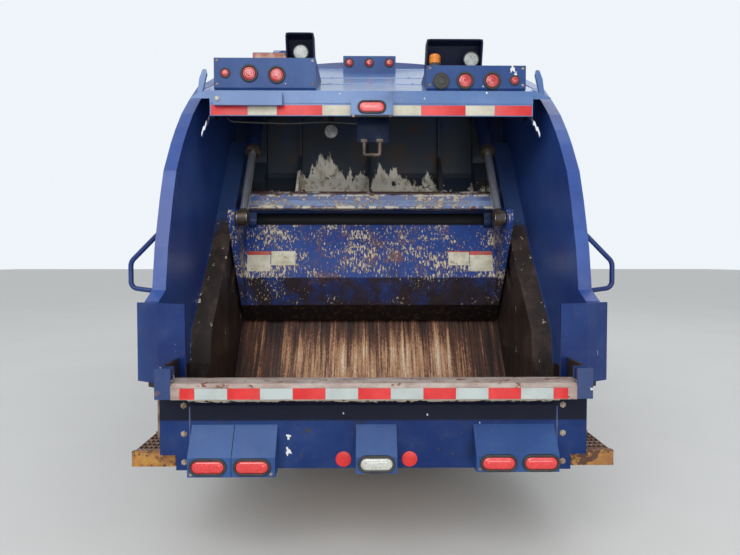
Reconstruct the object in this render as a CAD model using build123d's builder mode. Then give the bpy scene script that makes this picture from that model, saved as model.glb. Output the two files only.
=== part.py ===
from build123d import *
import math
import os

# Rear loading garbage truck, millimetres. +Y is forward, +X the kerb side, +Z up.
# The origin is on the ground under the middle of the truck.
# Places along the truck are given as the distance ahead of the loading sill's rear face.

# Driving dimensions
LENGTH = 9300
HALF_WIDTH = 1220
SKIN = 60

# Packer: the carrier slides on a sloping track and the blade hangs from its lower edge
SLIDE_DEGREES = 54.3
SLIDE_STROKE = 800
BLADE_HINGE = (1800, 1850)
BLADE_ARM = 450
SWEEP_PIVOT = (2150, 3000)
TROUGH_RADIUS = 800
RAMP_OFFSET = 500
PACKER_HALF = 990
HOPPER_HALF = 1015
POST_INNER = 1145
SHEET = 16

# Tailgate
TAILGATE_FRONT = 2230
TAILGATE_HINGE = (2234, 3290)
SKIRT_LEVEL = 907
FLOOR_LEVEL = 1140
ROOF_REAR = (940, 2610)
ROOF_FRONT = (2230, 3190)
SILL_HALF = 950
TAPE_DEPTH = 1.5
LATCH_OUT = 1024
LATCH_FOOT = 901
SILL_TOP = 982
SILL_BOTTOM = 899
PANEL_FOOT = 528
PANEL_WING = 595
LIP_HALF = 1012
LIP_BOTTOM = 2452

# Lift cylinders of the tailgate, low pivot on the body and high pivot on the tailgate
LIFT_FOOT = (2700, 1700)
LIFT_HEAD = (1850, 2650)
LIFT_X = 1262

# Body
BODY_REAR = 2238
BODY_FRONT = 6990
BODY_SKIN_HALF = 1190
BODY_INNER_HALF = 1150
BODY_EAVES = 3100
BODY_CROWN = 3215
RIB = 30

# Chassis and wheels
RAIL_HALF = (352, 432)
RAIL_Z = (730, 1000)
TYRE_RADIUS = 520
SEAT_RADIUS = 286
REAR_AXLES = (2475, 3825)
FRONT_AXLE = 7570
KINGPIN_X = 820
YOKE_X = 750
FRONT_TRACK_X = 1050
DUAL_X = (740, 1065)
TYRE_WIDTH = 285

# Cab
CAB_REAR = 7500
CAB_FRONT = 9250
CAB_HALF = 1200
CAB_FLOOR = 1190
CAB_BOTTOM = 1130
CAB_SKIRT = 730
CAB_PIVOT = (9150, 760)
DOOR_HINGE_T = 9113
DOOR_HINGE_X = 1214

DOOR_WINDOW = ((8340, 1780), (8340, 2480), (8900, 2480), (9010, 1780))
QUARTER_WINDOW = ((7680, 8140), (1800, 2480))
REAR_WINDOW = ((-600, 600), (1900, 2450))
WINDSCREEN_HALF = 1060
HINGE_PIN = 5
SEAT_X = 800

# Play of a pin in its hole
PIN_PLAY = 0.05

SIDES = (-1, 1)


def ahead(t):
    """Y of a place that is t ahead of the loading sill's rear face."""
    return t - LENGTH / 2


def side(*points):
    """Side view points (distance ahead of the sill, height) as Y and Z."""
    return [(ahead(t), z) for t, z in points]


def from_hinge(*points):
    """Side view points measured from the blade's hinge, as Y and Z."""
    return [(ahead(BLADE_HINGE[0] + t), BLADE_HINGE[1] + z) for t, z in points]


def on_track(along, across, base=BLADE_HINGE):
    """A side view point from its place along the slide track and across it, rearward positive."""
    c, s = math.cos(math.radians(SLIDE_DEGREES)), math.sin(math.radians(SLIDE_DEGREES))
    return (base[0] + along * c - across * s, base[1] + along * s + across * c)


def prism(points, x_from, x_to, mode=Mode.ADD):
    """Extrude a side view outline from one X to another."""
    with BuildSketch(Plane.YZ.offset(x_from)) as outline:
        with BuildLine():
            Polyline(*points, close=True)
        make_face()
    extrude(outline.sketch, amount=x_to - x_from, mode=mode)


def slab(points, z_from, z_to, mode=Mode.ADD):
    """Extrude a plan view outline (X, distance ahead of the sill) from one height to another."""
    with BuildSketch(Plane.XY.offset(z_from)) as outline:
        with BuildLine():
            Polyline(*[(x, ahead(t)) for x, t in points], close=True)
        make_face()
    extrude(outline.sketch, amount=z_to - z_from, mode=mode)


def block(x, t, z, mode=Mode.ADD):
    """A box from three (low, high) pairs, t being measured ahead of the sill."""
    centre = (sum(x) / 2, ahead(sum(t) / 2), sum(z) / 2)
    with Locations(centre):
        Box(abs(x[1] - x[0]), abs(t[1] - t[0]), abs(z[1] - z[0]), mode=mode)


def cross_rod(x_from, x_to, place, radius, mode=Mode.ADD):
    """A round rod along X at a side view place."""
    with BuildSketch(Plane.YZ.offset(x_from)) as section:
        with Locations((ahead(place[0]), place[1])):
            Circle(radius)
    extrude(section.sketch, amount=x_to - x_from, mode=mode)


def rod(start, end, radius, mode=Mode.ADD):
    """A round rod between two points in space."""
    way = Vector(*end) - Vector(*start)
    with BuildSketch(Plane(origin=start, z_dir=way)) as section:
        Circle(radius)
    extrude(section.sketch, amount=way.length, mode=mode)


def lamp(x, t, z, radius, depth, mode=Mode.ADD):
    """A round lamp that faces rearward, its back at t and its face depth behind."""
    with BuildSketch(Plane.XZ.offset(-ahead(t))) as face:
        with Locations((x, z)):
            Circle(radius)
    extrude(face.sketch, amount=depth, mode=mode)


def turned(profile, x_mid, t, z):
    """Revolve a profile of (X offset, radius) points about an axle along X."""
    centre = (x_mid, ahead(t), z)
    with BuildSketch(Plane(origin=centre, x_dir=(1, 0, 0), z_dir=(0, -1, 0))) as section:
        with BuildLine():
            Polyline(*profile, close=True)
        make_face()
    revolve(section.sketch, axis=Axis(centre, (1, 0, 0)))


def save(piece, name):
    """Label a finished piece and write it to its own file."""
    piece.part.label = name
    export_step(piece.part, f"parts/{name}.step")


os.makedirs("parts", exist_ok=True)

LOW_HINGE = on_track(-SLIDE_STROKE, 0)


def roof_top(t):
    """Height of the tailgate's sloping roof at a place along the truck."""
    slope = (ROOF_FRONT[1] - ROOF_REAR[1]) / (ROOF_FRONT[0] - ROOF_REAR[0])
    return ROOF_REAR[1] + slope * (t - ROOF_REAR[0])


def trough(radius, ramp, drop):
    """The hopper floor's line: the load ledge, the arc that the blade sweeps, and the ramp.

    The points are the ledge's two places, the arc's start, middle and end, and the ramp's top.
    """
    start_z = 712 - drop
    start = (LOW_HINGE[0] - math.sqrt(radius**2 - (LOW_HINGE[1] - start_z) ** 2), start_z)
    reach = -math.sqrt(radius**2 - ramp**2)
    end = on_track(reach, -ramp, LOW_HINGE)
    turn = math.radians(235)
    middle = (LOW_HINGE[0] + radius * math.cos(turn), LOW_HINGE[1] + radius * math.sin(turn))
    rise = (FLOOR_LEVEL - drop - end[1]) / math.sin(math.radians(SLIDE_DEGREES))
    top = on_track(reach + rise, -ramp, LOW_HINGE)
    return (100, 920 - drop), (400, 890 - drop), start, middle, end, top


FLOOR_TOP = trough(TROUGH_RADIUS, RAMP_OFFSET, 0)
FLOOR_UNDER = trough(TROUGH_RADIUS + SHEET, RAMP_OFFSET + SHEET, 18)
RAMP_AT_SKIRT = on_track(
    (SKIRT_LEVEL - FLOOR_UNDER[4][1]) / math.sin(math.radians(SLIDE_DEGREES)), 0, FLOOR_UNDER[4]
)


def ledge_under(t):
    """Height of the underside of the hopper's rear slope."""
    (t_low, z_low), (t_high, z_high) = FLOOR_UNDER[1], FLOOR_UNDER[2]
    return z_low + (z_high - z_low) * (t - t_low) / (t_high - t_low)


# Tailgate sides: boxed posts with slide grooves and a liner in front of the step
REAR_EDGE = [
    (400, SKIRT_LEVEL), (400, 1330), (506, 1384), (550, 1623), (635, 1896), (703, 2073),
    (830, 2258), (919, 2365), (1037, 2490), (1189, 2616), (1387, 2765),
]
LINER_STEP = [(909, SKIRT_LEVEL), (947, 1110), on_track(-415, 187), on_track(700, 187)]
SHOES = ((180, 340), (400, 560))
SHOE_ACROSS = (-60, 50)
SHOE_DEPTH = 1085
GROOVE_PLAY = 6

belly = ((TAILGATE_FRONT, FLOOR_UNDER[5][1]), FLOOR_UNDER[5], RAMP_AT_SKIRT)
post = side(*REAR_EDGE, (TAILGATE_FRONT, 3160), *belly)
liner = side(*LINER_STEP, (TAILGATE_FRONT, LINER_STEP[-1][1]), *belly)
low, high = SHOES[0][0] - SLIDE_STROKE - GROOVE_PLAY, SHOES[1][1] + GROOVE_PLAY
near, far = SHOE_ACROSS[0] - GROOVE_PLAY, SHOE_ACROSS[1] + GROOVE_PLAY
groove = side(*[on_track(u, v) for u, v in ((low, near), (high, near), (high, far), (low, far))])
slot_pocket = side((1190, 2350), (1190, 2560), (1400, 2700), (1700, 2770), (1700, 2500), (1450, 2400))
with BuildPart() as tailgate_sides:
    for hand in SIDES:
        prism(post, hand * POST_INNER, hand * HALF_WIDTH)
        prism(liner, hand * HOPPER_HALF, hand * POST_INNER)
        prism(groove, hand * (HOPPER_HALF - 5), hand * (SHOE_DEPTH + 5), mode=Mode.SUBTRACT)
        prism(slot_pocket, hand * (POST_INNER + 7), hand * (HALF_WIDTH + 5), mode=Mode.SUBTRACT)
        cross_rod(hand * HALF_WIDTH, hand * 1235, LIFT_HEAD, 45)
        for k in range(3):
            slot = (1255 + 70 * k, 2430 + 55 * k)
            with BuildSketch(Plane.YZ.offset(hand * (POST_INNER - 5))) as opening:
                with Locations(Location((ahead(slot[0]), slot[1], 0), (0, 0, 50))):
                    SlotOverall(110, 34)
            extrude(opening.sketch, amount=hand * 90, mode=Mode.SUBTRACT)
save(tailgate_sides, "tailgate_sides")

# Tailgate roof with its rear lip, the lip's tape strip, hinge lugs, corner hooks and lamp bracket
LIP_REAR = 936
CEILING_LAMP = (-280, 1360, 2453)
with BuildPart() as tailgate_roof:
    roof = side(
        (1000, roof_top(1000)), ROOF_FRONT, (ROOF_FRONT[0], ROOF_FRONT[1] - SKIN),
        (1000, roof_top(1000) - SKIN),
    )
    prism(roof, -POST_INNER, POST_INNER)
    lip = side((LIP_REAR, 2530), (LIP_REAR, 2608), (1000, roof_top(1000)), (1000, 2540))
    prism(lip, -LIP_HALF, LIP_HALF)
    block((-LIP_HALF, LIP_HALF), (LIP_REAR + 4, LIP_REAR + 16), (LIP_BOTTOM, 2535))
    cheek = side((LIP_REAR + 4, LIP_BOTTOM), (LIP_REAR + 4, 2590), (1420, roof_top(1420) - 4), (1420, 2700),
                 (1060, LIP_BOTTOM))
    lug = side((2080, roof_top(2080) - 20), (2150, 3290), (2230, 3335), (2228, roof_top(2228) - 20))
    hook = [(1140, 2632), (1112, 2632), (1078, 2770), (1084, 2800), (1104, 2796), (1126, 2740)]
    slope_up = Vector(0, ROOF_FRONT[0] - ROOF_REAR[0], ROOF_FRONT[1] - ROOF_REAR[1]).normalized()
    shoulder_plane = Plane(origin=(0, ahead(900), roof_top(900)), x_dir=(1, 0, 0), z_dir=slope_up)
    for hand in SIDES:
        prism(cheek, hand * (LIP_HALF - 12), hand * LIP_HALF)
        with BuildSketch(shoulder_plane) as shoulder:
            with BuildLine():
                outer = hand * (POST_INNER + 1)
                Polyline((hand * 1030, 0), (outer, 46), (outer, 0), close=True)
            make_face()
        extrude(shoulder.sketch, amount=1500, mode=Mode.SUBTRACT)
        prism(lug, hand * 765, hand * 815)
        cross_rod(hand * 765, hand * 815, TAILGATE_HINGE, 45)
        cross_rod(hand * 760, hand * 820, TAILGATE_HINGE, 25 + PIN_PLAY, mode=Mode.SUBTRACT)
        with BuildSketch(Plane.XZ.offset(-ahead(1110))) as horn:
            with BuildLine():
                Polyline(*[(hand * x, z) for x, z in hook], close=True)
            make_face()
        extrude(horn.sketch, amount=-24)
    # Box of the middle lamp, the wiring cover over the tape and the work lamp's bracket
    block((-130, 130), (905, LIP_REAR + 4), (2440, 2553))
    block((-980, -555), (900, LIP_REAR), (2509, 2587))
    x_lamp, t_lamp, z_lamp = CEILING_LAMP
    block((x_lamp - 22, x_lamp + 22), (t_lamp, t_lamp + 12), (z_lamp - 12, roof_top(t_lamp) - SKIN + 10))
    # Hanger plate behind the lip with its shackle
    block((-92, 108), (1010, 1026), (2305, roof_top(1010) - SKIN + 10))
    for x in (-48, 52):
        with Locations((x, ahead(1018), 2268)):
            Cylinder(8, 90)
    with Locations(Location((2, ahead(1018), 2225))):
        Box(116, 16, 16)
save(tailgate_roof, "tailgate_roof")

# Throat panel, the tailgate's fixed wall ahead of the carrier
with BuildPart() as throat_panel:
    liner_top = LINER_STEP[-1][1]
    block((-HOPPER_HALF, HOPPER_HALF), (2217, TAILGATE_FRONT), (2350, liner_top))
    block((-POST_INNER, POST_INNER), (2217, TAILGATE_FRONT), (liner_top, 3124))
save(throat_panel, "throat_panel")

# Hopper floor: the load ledge, the curved trough that the blade sweeps, and the ramp
with BuildPart() as hopper:
    with BuildSketch(Plane.YZ.offset(-HOPPER_HALF)) as floor_plate:
        with BuildLine():
            top, under = side(*FLOOR_TOP), side(*FLOOR_UNDER)
            front_top, front_under = side((TAILGATE_FRONT, FLOOR_LEVEL), (TAILGATE_FRONT, FLOOR_LEVEL - 18))
            Polyline(top[0], top[1], top[2])
            ThreePointArc(top[2], top[3], top[4])
            Polyline(top[4], top[5], front_top, front_under, under[5], under[4])
            ThreePointArc(under[4], under[3], under[2])
            Polyline(under[2], under[1], under[0], top[0])
        make_face()
    extrude(floor_plate.sketch, amount=2 * HOPPER_HALF)
save(hopper, "hopper")

# Low side plates of the hopper, lined in to the blade's width forward of the step
with BuildPart() as hopper_cheeks:
    for hand in SIDES:
        # The side plate below the skirt line follows the trough's outside
        with BuildSketch(Plane.YZ.offset(hand * POST_INNER)) as cheek_plate:
            with BuildLine():
                Polyline(*side((400, SKIRT_LEVEL), FLOOR_UNDER[1], FLOOR_UNDER[2]))
                ThreePointArc(*side(*FLOOR_UNDER[2:5]))
                Polyline(*side(FLOOR_UNDER[4], RAMP_AT_SKIRT, (400, SKIRT_LEVEL)))
            make_face()
        extrude(cheek_plate.sketch, amount=hand * 30)
        # Forward of the step the plate is lined in to the blade's width
        with BuildSketch(Plane.YZ.offset(hand * HOPPER_HALF)) as low_liner:
            with BuildLine():
                Polyline(*side((909, SKIRT_LEVEL), (400, SKIRT_LEVEL), FLOOR_UNDER[1], FLOOR_UNDER[2]))
                ThreePointArc(*side(*FLOOR_UNDER[2:5]))
                Polyline(*side(FLOOR_UNDER[4], RAMP_AT_SKIRT, (909, SKIRT_LEVEL)))
            make_face()
        extrude(low_liner.sketch, amount=hand * (POST_INNER - HOPPER_HALF))
        pocket = side((390, SKIRT_LEVEL + 5), (390, 892), (400, 890), FLOOR_TOP[2], (886, 560),
                      (886, 786), (909, SKIRT_LEVEL + 5))
        prism(pocket, hand * HOPPER_HALF, hand * POST_INNER, mode=Mode.SUBTRACT)
        slab([(hand * x, t) for x, t in ((1015, 290), (1076, 314), (1205, 400), (1015, 400))], 872, 907)
        end_plate = side((100, 920), (100, 1046), (278, 1046), (278, 902.2))
        prism(end_plate, hand * 1000, hand * HOPPER_HALF)
save(hopper_cheeks, "hopper_cheeks")

# Loading sill, the worn steel beam across the hopper's mouth
with BuildPart() as sill:
    nose = side((TAPE_DEPTH, SILL_BOTTOM), (TAPE_DEPTH, SILL_TOP - 27), (0, SILL_TOP - 27), (0, SILL_TOP - 24),
                (12, SILL_TOP - 8), (60, SILL_TOP), (60, SILL_BOTTOM))
    prism(nose, -SILL_HALF, SILL_HALF)
    block((-1000, 1000), (60, 100), (SILL_BOTTOM, SILL_TOP))
save(sill, "sill")

# Trunnion latches: open seats on the sill's ends for a container's trunnion bar
with BuildPart() as trunnion_latches:
    for hand in SIDES:
        seat = side((0, LATCH_FOOT), (60, LATCH_FOOT), (60, 1046), (42, 1046), (42, 990), (16, 990), (16, 1046),
                    (0, 1046))
        prism(seat, hand * SILL_HALF, hand * LATCH_OUT)
save(trunnion_latches, "trunnion_latches")

# Lower rear panel under the sill, with the two brackets that carry it from the hopper floor
with BuildPart() as lower_panel:
    panel = side((20, SILL_BOTTOM), (60, SILL_BOTTOM), (150, 846), (150, PANEL_FOOT), (130, PANEL_FOOT),
                 (130, 840))
    prism(panel, -885, 885)
    gusset = side((130, PANEL_FOOT), (130, SILL_BOTTOM), FLOOR_UNDER[1], (660, ledge_under(660)),
                  (800, PANEL_FOOT))
    for hand in SIDES:
        prism(gusset, hand * 885, hand * 900)
        block((hand * 900, hand * 970), (130, 150), (PANEL_FOOT - 8, 880))
        block((hand * 970, hand * 1048), (130, 150), (PANEL_WING, 880))
save(lower_panel, "lower_panel")

# Lamp boxes below the sill, their tops sloping rearward: X from, X to, height of the bend and of the foot
LAMP_BOXES = ((-890, -472, 610, 517), (-88, 110, 613, 533), (488, 886, 618, 538))
with BuildPart() as lamp_boxes:
    for x_low, x_high, bend, foot in LAMP_BOXES:
        prism(side((45, foot), (45, bend), (130, 745), (130, foot)), x_low, x_high)
save(lamp_boxes, "lamp_boxes")

# Light boxes on the roof's rear edge, wedges level on the sloping roof, each with an open lamp hood
LIGHT_BOXES = ((-988, -351, 2815, -540, -366, 2975), (345, 969, 2772, 348, 700, 2938))
with BuildPart() as light_boxes:
    for x_low, x_high, top, hood_low, hood_high, hood_top in LIGHT_BOXES:
        meet = 1000 + (top - roof_top(1000)) * (ROOF_FRONT[0] - ROOF_REAR[0]) / (ROOF_FRONT[1] - ROOF_REAR[1])
        wedge = side((950, 2630), (950, top), (meet, top), (1000, roof_top(1000)), (960, 2620))
        prism(wedge, x_low, x_high)
        hood = side((1010, top), (960, hood_top), (1060, hood_top), (1150, top - 5))
        prism(hood, hood_low, hood_high)
        hollow = side((950, top), (940, hood_top - 6), (1056, hood_top - 6), (1142, top))
        prism(hollow, hood_low + 6, hood_high - 6, mode=Mode.SUBTRACT)
    for x, top in ((-451, 2815), (635, 2772)):
        block((x - 16, x + 16), (1010, 1090), (top - 5, top + 70))
    block((-790, -548), (1180, 1188), (2805, 2932))
    bar = side((1860, roof_top(1860)), (1860, 3158), (1930, 3158), (1930, roof_top(1930)))
    prism(bar, -213, 200)
save(light_boxes, "light_boxes")

# Corner guards: folded plates from the sill's ends to the outer sides
with BuildPart() as corner_guards:
    for hand in SIDES:
        fold = ((966, 270), (1120, 312), (1255, 385), (1255, 400), (1200, 400), (1200, 377), (1114, 328),
                (966, 286))
        slab([(hand * x, t) for x, t in fold], SKIRT_LEVEL, 1326)
save(corner_guards, "corner_guards")

# Riding steps hung from the hopper's side plates
with BuildPart() as riding_steps:
    for hand in SIDES:
        block((hand * 1000, hand * 1222), (222, 552), (545, 585))
        block((hand * 1000, hand * 1222), (212, 222), (505, 585))
        for t in (420, 510):
            hanger = side((t, 585), (t + 30, 585), (t + 30, ledge_under(t + 30)), (t, ledge_under(t)))
            prism(hanger, hand * 1146, hand * 1166)
save(riding_steps, "riding_steps")

# Grab handles, bent tube, one on each side by the riding step
HANDLE_X = 1382
with BuildPart() as grab_handles:
    for hand in SIDES:
        with BuildLine() as bend:
            y = ahead(620)
            FilletPolyline(
                (hand * 1218, y, 1706), (hand * HANDLE_X, y, 1540), (hand * HANDLE_X, y, 1392),
                (hand * 1218, y, 1370), radius=[60, 40],
            )
        with BuildSketch(Plane(origin=bend.line @ 0, z_dir=bend.line % 0)) as ring:
            Circle(14)
        sweep(ring.sketch, path=bend.line)
        block((hand * 1180, hand * 1220), (590, 650), (1350, 1720), mode=Mode.SUBTRACT)
save(grab_handles, "grab_handles")

# Red lamps: round ones on the light boxes, ovals on the low boxes and the middle of the lip
ROUND_LAMPS = ((-917, 2720, 27), (-767, 2718, 50), (-595, 2709, 50), (587, 2677, 50), (757, 2677, 50),
               (898, 2680, 27))
LOW_OVALS = ((-792, 566), (-582, 566), (595, 581), (798, 581))
LAMP_DEPTH = 14
with BuildPart() as red_lamps:
    for x, z, radius in ROUND_LAMPS:
        lamp(x, 950, z, radius, LAMP_DEPTH)
    for x in (-166, -8, 150):
        lamp(x, 1860, 3104, 32, 16)
    with BuildSketch(Plane.XZ.offset(-ahead(905))) as middle_lamp:
        with Locations((0, 2500)):
            Ellipse(84, 36)
    extrude(middle_lamp.sketch, amount=LAMP_DEPTH)
    for x, z in LOW_OVALS:
        with BuildSketch(Plane.XZ.offset(-ahead(45))) as low_lamp:
            with Locations((x, z)):
                Ellipse(84, 36)
        extrude(low_lamp.sketch, amount=LAMP_DEPTH)
    for x in (-150, 175):
        lamp(x, 130, 574, 38, 8)
save(red_lamps, "red_lamps")

# Clear lamps and the white oval reversing lamp
with BuildPart() as clear_lamps:
    lamp(-451, 1010, 2872, 51, 40)
    lamp(635, 1010, 2830, 51, 40)
    lamp(*CEILING_LAMP, 52, 40)
    lamp(-956, 900, 2547, 22, 10)
    with BuildSketch(Plane.XZ.offset(-ahead(45))) as reverse_lamp:
        with Locations((11, 577)):
            Ellipse(84, 36)
    extrude(reverse_lamp.sketch, amount=LAMP_DEPTH)
save(clear_lamps, "clear_lamps")

# Amber beacon standing on the right light box
with BuildPart() as amber_beacon:
    with Locations((401, ahead(1005), 2772 + 47)):
        Cylinder(42, 94)
save(amber_beacon, "amber_beacon")

# Carrier: the sliding frame, with its lower beam, front plate, ribs, posts and guide shoes
with BuildPart() as carrier:
    front_low, front_bend = on_track(-20, -100), on_track(560, -100)
    back_low, back_bend = on_track(60, -70), on_track(540, -70)
    face = side(front_low, front_bend, (2212, 2260), (2212, 3000), (2182, 3000), (2182, 2290), back_bend,
                back_low)
    prism(face, -835, 835)
    face_low = side(front_low, front_bend, (2212, 2260), (2212, 2740), (2182, 2740), (2182, 2290), back_bend,
                    back_low)
    prism(face_low, -PACKER_HALF + 55, PACKER_HALF - 55)
    beam = from_hinge((-170, 90), (-170, 114), (-136, 150), (-136, 196), (-60, 230), (250, 230), (241, 165),
                      (69, -75), (40, -62), (-60, 76))
    prism(beam, -935, 935)
    cross_rod(-940, 940, BLADE_HINGE, 80, mode=Mode.SUBTRACT)
    rib = side((1810, 2075), on_track(60, -72), on_track(560, -72), (2184, 2300), (2184, 2990), (2120, 2990),
               (2120, 2420))
    for x in (-580, 0, 580):
        prism(rib, x - 10, x + 10)
    block((-835, 835), (2112, 2184), (2930, 3000))
    arm = side(on_track(180, -100), on_track(560, -100), (2212, 2260), (2212, 3000), (2088, 3000),
               (2095, 2420), on_track(600, 60), on_track(180, 50))
    wide_post = side(on_track(380, -90), on_track(560, -90), (2205, 2270), (2212, 2740), (2100, 2740),
                     (2100, 2420), on_track(600, 50), on_track(400, 50))
    lug_plate = from_hinge((-55, 0), (-55, 110), (-60, 200), (200, 200), (120, 60), (62, 0))
    for hand in SIDES:
        prism(arm, hand * 960, hand * PACKER_HALF)
        cross_rod(hand * 960, hand * PACKER_HALF, SWEEP_PIVOT, 62)
        prism(wide_post, hand * 861, hand * 965)
        cross_rod(hand * 840, hand * 965, SWEEP_PIVOT, 26)
        prism(lug_plate, hand * 880, hand * 935)
        cross_rod(hand * 880, hand * 935, BLADE_HINGE, 62)
        cross_rod(hand * 930, hand * PACKER_HALF, BLADE_HINGE, 35)
        for low_end, high_end in SHOES:
            ends = ((low_end, SHOE_ACROSS[0]), (high_end, SHOE_ACROSS[0]),
                    (high_end, SHOE_ACROSS[1]), (low_end, SHOE_ACROSS[1]))
            prism(side(*[on_track(u, v) for u, v in ends]), hand * (PACKER_HALF - 30), hand * SHOE_DEPTH)
save(carrier, "carrier")

# Blade: a three facet back, a concave face and two ears that reach rearward to the knuckles
KNUCKLE = (-BLADE_ARM, -6)
with BuildPart() as blade:
    with BuildSketch(Plane.YZ.offset(-PACKER_HALF + 45)) as blade_side:
        with BuildLine():
            back = from_hinge((-66, -24), (-150, -228), (-200, -430), (-100, -645), (20, -776))
            tip = from_hinge((34, -770))[0]
            face_top = from_hinge((40, -58))[0]
            hollow = from_hinge((-30, -400))[0]
            Polyline(*back, tip)
            ThreePointArc(tip, hollow, face_top)
            Line(face_top, back[0])
        make_face()
    extrude(blade_side.sketch, amount=2 * (PACKER_HALF - 45))
    cross_rod(-870, 870, BLADE_HINGE, 70)
    for hand in SIDES:
        ear = from_hinge((0, 95), (KNUCKLE[0], KNUCKLE[1] + 70), (KNUCKLE[0] - 60, KNUCKLE[1] - 36),
                         (-110, -645), (20, -776), (34, -770), (60, -74), (95, 0))
        prism(ear, hand * 945, hand * PACKER_HALF)
        cross_rod(hand * 945, hand * PACKER_HALF, BLADE_HINGE, 95)
        knuckle_place = (BLADE_HINGE[0] + KNUCKLE[0], BLADE_HINGE[1] + KNUCKLE[1])
        cross_rod(hand * 945, hand * PACKER_HALF, knuckle_place, 70)
        # Room for the carrier's hinge lugs between the ear and the blade
        cross_rod(hand * 875, hand * 945, BLADE_HINGE, 92, mode=Mode.SUBTRACT)
        cross_rod(hand * 940, hand * (PACKER_HALF + 5), BLADE_HINGE, 35 + PIN_PLAY, mode=Mode.SUBTRACT)
save(blade, "blade")


def cylinder_points(foot, head, x):
    """The two pivots of a cylinder in space and the unit direction between them."""
    start, end = Vector(x, ahead(foot[0]), foot[1]), Vector(x, ahead(head[0]), head[1])
    return start, end, (end - start).normalized()


# Sweep cylinders: barrels hang from the carrier's top, rods reach the blade's knuckles
SWEEP_X = 900
SWEEP_BARREL = (50, 760)
SWEEP_ROD_INNER = 700
with BuildPart() as sweep_barrels:
    for hand in SIDES:
        start, end, way = cylinder_points(SWEEP_PIVOT, knuckle_place, hand * SWEEP_X)
        rod(start + way * SWEEP_BARREL[0], start + way * SWEEP_BARREL[1], 55)
        cross_rod(hand * 865, hand * 935, SWEEP_PIVOT, 52)
        rod(start + way * 140, start + way * (SWEEP_BARREL[1] + 5), 31, mode=Mode.SUBTRACT)
        cross_rod(hand * 860, hand * 940, SWEEP_PIVOT, 26 + PIN_PLAY, mode=Mode.SUBTRACT)
save(sweep_barrels, "sweep_barrels")

with BuildPart() as sweep_rods:
    for hand in SIDES:
        start, end, way = cylinder_points(SWEEP_PIVOT, knuckle_place, hand * SWEEP_X)
        rod(start + way * SWEEP_ROD_INNER, end - way * 20, 30)
        cross_rod(hand * 865, hand * 935, knuckle_place, 52)
save(sweep_rods, "sweep_rods")

# Lift cylinders beside the body, which raise the tailgate
LIFT_BARREL = (40, 1170)
with BuildPart() as lift_barrels:
    for hand in SIDES:
        start, end, way = cylinder_points(LIFT_FOOT, LIFT_HEAD, hand * LIFT_X)
        rod(start + way * LIFT_BARREL[0], start + way * LIFT_BARREL[1], 36)
        cross_rod(hand * 1244, hand * 1280, LIFT_FOOT, 44)
        rod(start + way * 90, start + way * (LIFT_BARREL[1] + 5), 21, mode=Mode.SUBTRACT)
        cross_rod(hand * 1240, hand * 1290, LIFT_FOOT, 20 + PIN_PLAY, mode=Mode.SUBTRACT)
save(lift_barrels, "lift_barrels")

with BuildPart() as lift_rods:
    for hand in SIDES:
        start, end, way = cylinder_points(LIFT_FOOT, LIFT_HEAD, hand * LIFT_X)
        rod(start + way * 110, end - way * 20, 20)
        cross_rod(hand * 1244, hand * 1280, LIFT_HEAD, 42)
save(lift_rods, "lift_rods")


def body_outline(grow):
    """Half the body's cross section as a closed outline, grown outward by a distance."""
    half = BODY_SKIN_HALF + grow
    Polyline((half, BODY_EAVES), (half, FLOOR_LEVEL - 30), (-half, FLOOR_LEVEL - 30), (-half, BODY_EAVES))
    ThreePointArc((-half, BODY_EAVES), (0, BODY_CROWN + grow), (half, BODY_EAVES))


# Body: a tube with a crowned roof, ring ribs, a front wall and sub frame runners
with BuildPart() as body_shell:
    with BuildSketch(Plane.XZ.offset(-ahead(BODY_REAR))) as skin:
        with BuildLine():
            body_outline(0)
        make_face()
    extrude(skin.sketch, amount=-(BODY_FRONT - BODY_REAR))
    rings = [BODY_REAR] + [2900 + 580 * k for k in range(7)] + [BODY_FRONT - 90]
    for t in rings:
        with BuildSketch(Plane.XZ.offset(-ahead(t))) as ring:
            with BuildLine():
                body_outline(RIB)
            make_face()
        extrude(ring.sketch, amount=-90)
    with BuildSketch(Plane.XZ.offset(-ahead(BODY_REAR))) as load_space:
        with BuildLine():
            Polyline((BODY_INNER_HALF, BODY_EAVES - 40), (BODY_INNER_HALF, FLOOR_LEVEL),
                     (-BODY_INNER_HALF, FLOOR_LEVEL), (-BODY_INNER_HALF, BODY_EAVES - 40))
            ThreePointArc((-BODY_INNER_HALF, BODY_EAVES - 40), (0, BODY_CROWN - 40),
                          (BODY_INNER_HALF, BODY_EAVES - 40))
        make_face()
    extrude(load_space.sketch, amount=-(BODY_FRONT - BODY_REAR - SKIN), mode=Mode.SUBTRACT)
    for hand in SIDES:
        block((hand * RAIL_HALF[0], hand * RAIL_HALF[1]), (BODY_REAR + 12, BODY_FRONT),
              (RAIL_Z[1], FLOOR_LEVEL - 30))
        body_lug = side((2250, 3160), (2205, 3310), (2270, 3335), (2390, 3160))
        prism(body_lug, hand * 700, hand * 758)
        cross_rod(hand * 700, hand * 758, TAILGATE_HINGE, 45)
        cross_rod(hand * 750, hand * 816, TAILGATE_HINGE, 25)
        block((hand * 1185, hand * 1221), (2640, 2760), (1640, 1760))
        cross_rod(hand * 1220, hand * 1240, LIFT_FOOT, 34)
        cross_rod(hand * 1230, hand * 1288, LIFT_FOOT, 20)
save(body_shell, "body_shell")

# Ejector: the sloping wall that pushes the load out of the body
with BuildPart() as ejector_panel:
    half = BODY_INNER_HALF - 15
    face = side((6350, 1148), (6350, 2000), (6560, 3030), (6620, 3030), (6410, 1990), (6410, 1208),
                (6800, 1208), (6800, 1148))
    prism(face, -half, half)
    web = side((6400, 1200), (6400, 1990), (6600, 2990), (6780, 1200))
    for x in (-half + 20, -360, 360, half - 20):
        prism(web, x - 10, x + 10)
save(ejector_panel, "ejector_panel")

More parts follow.
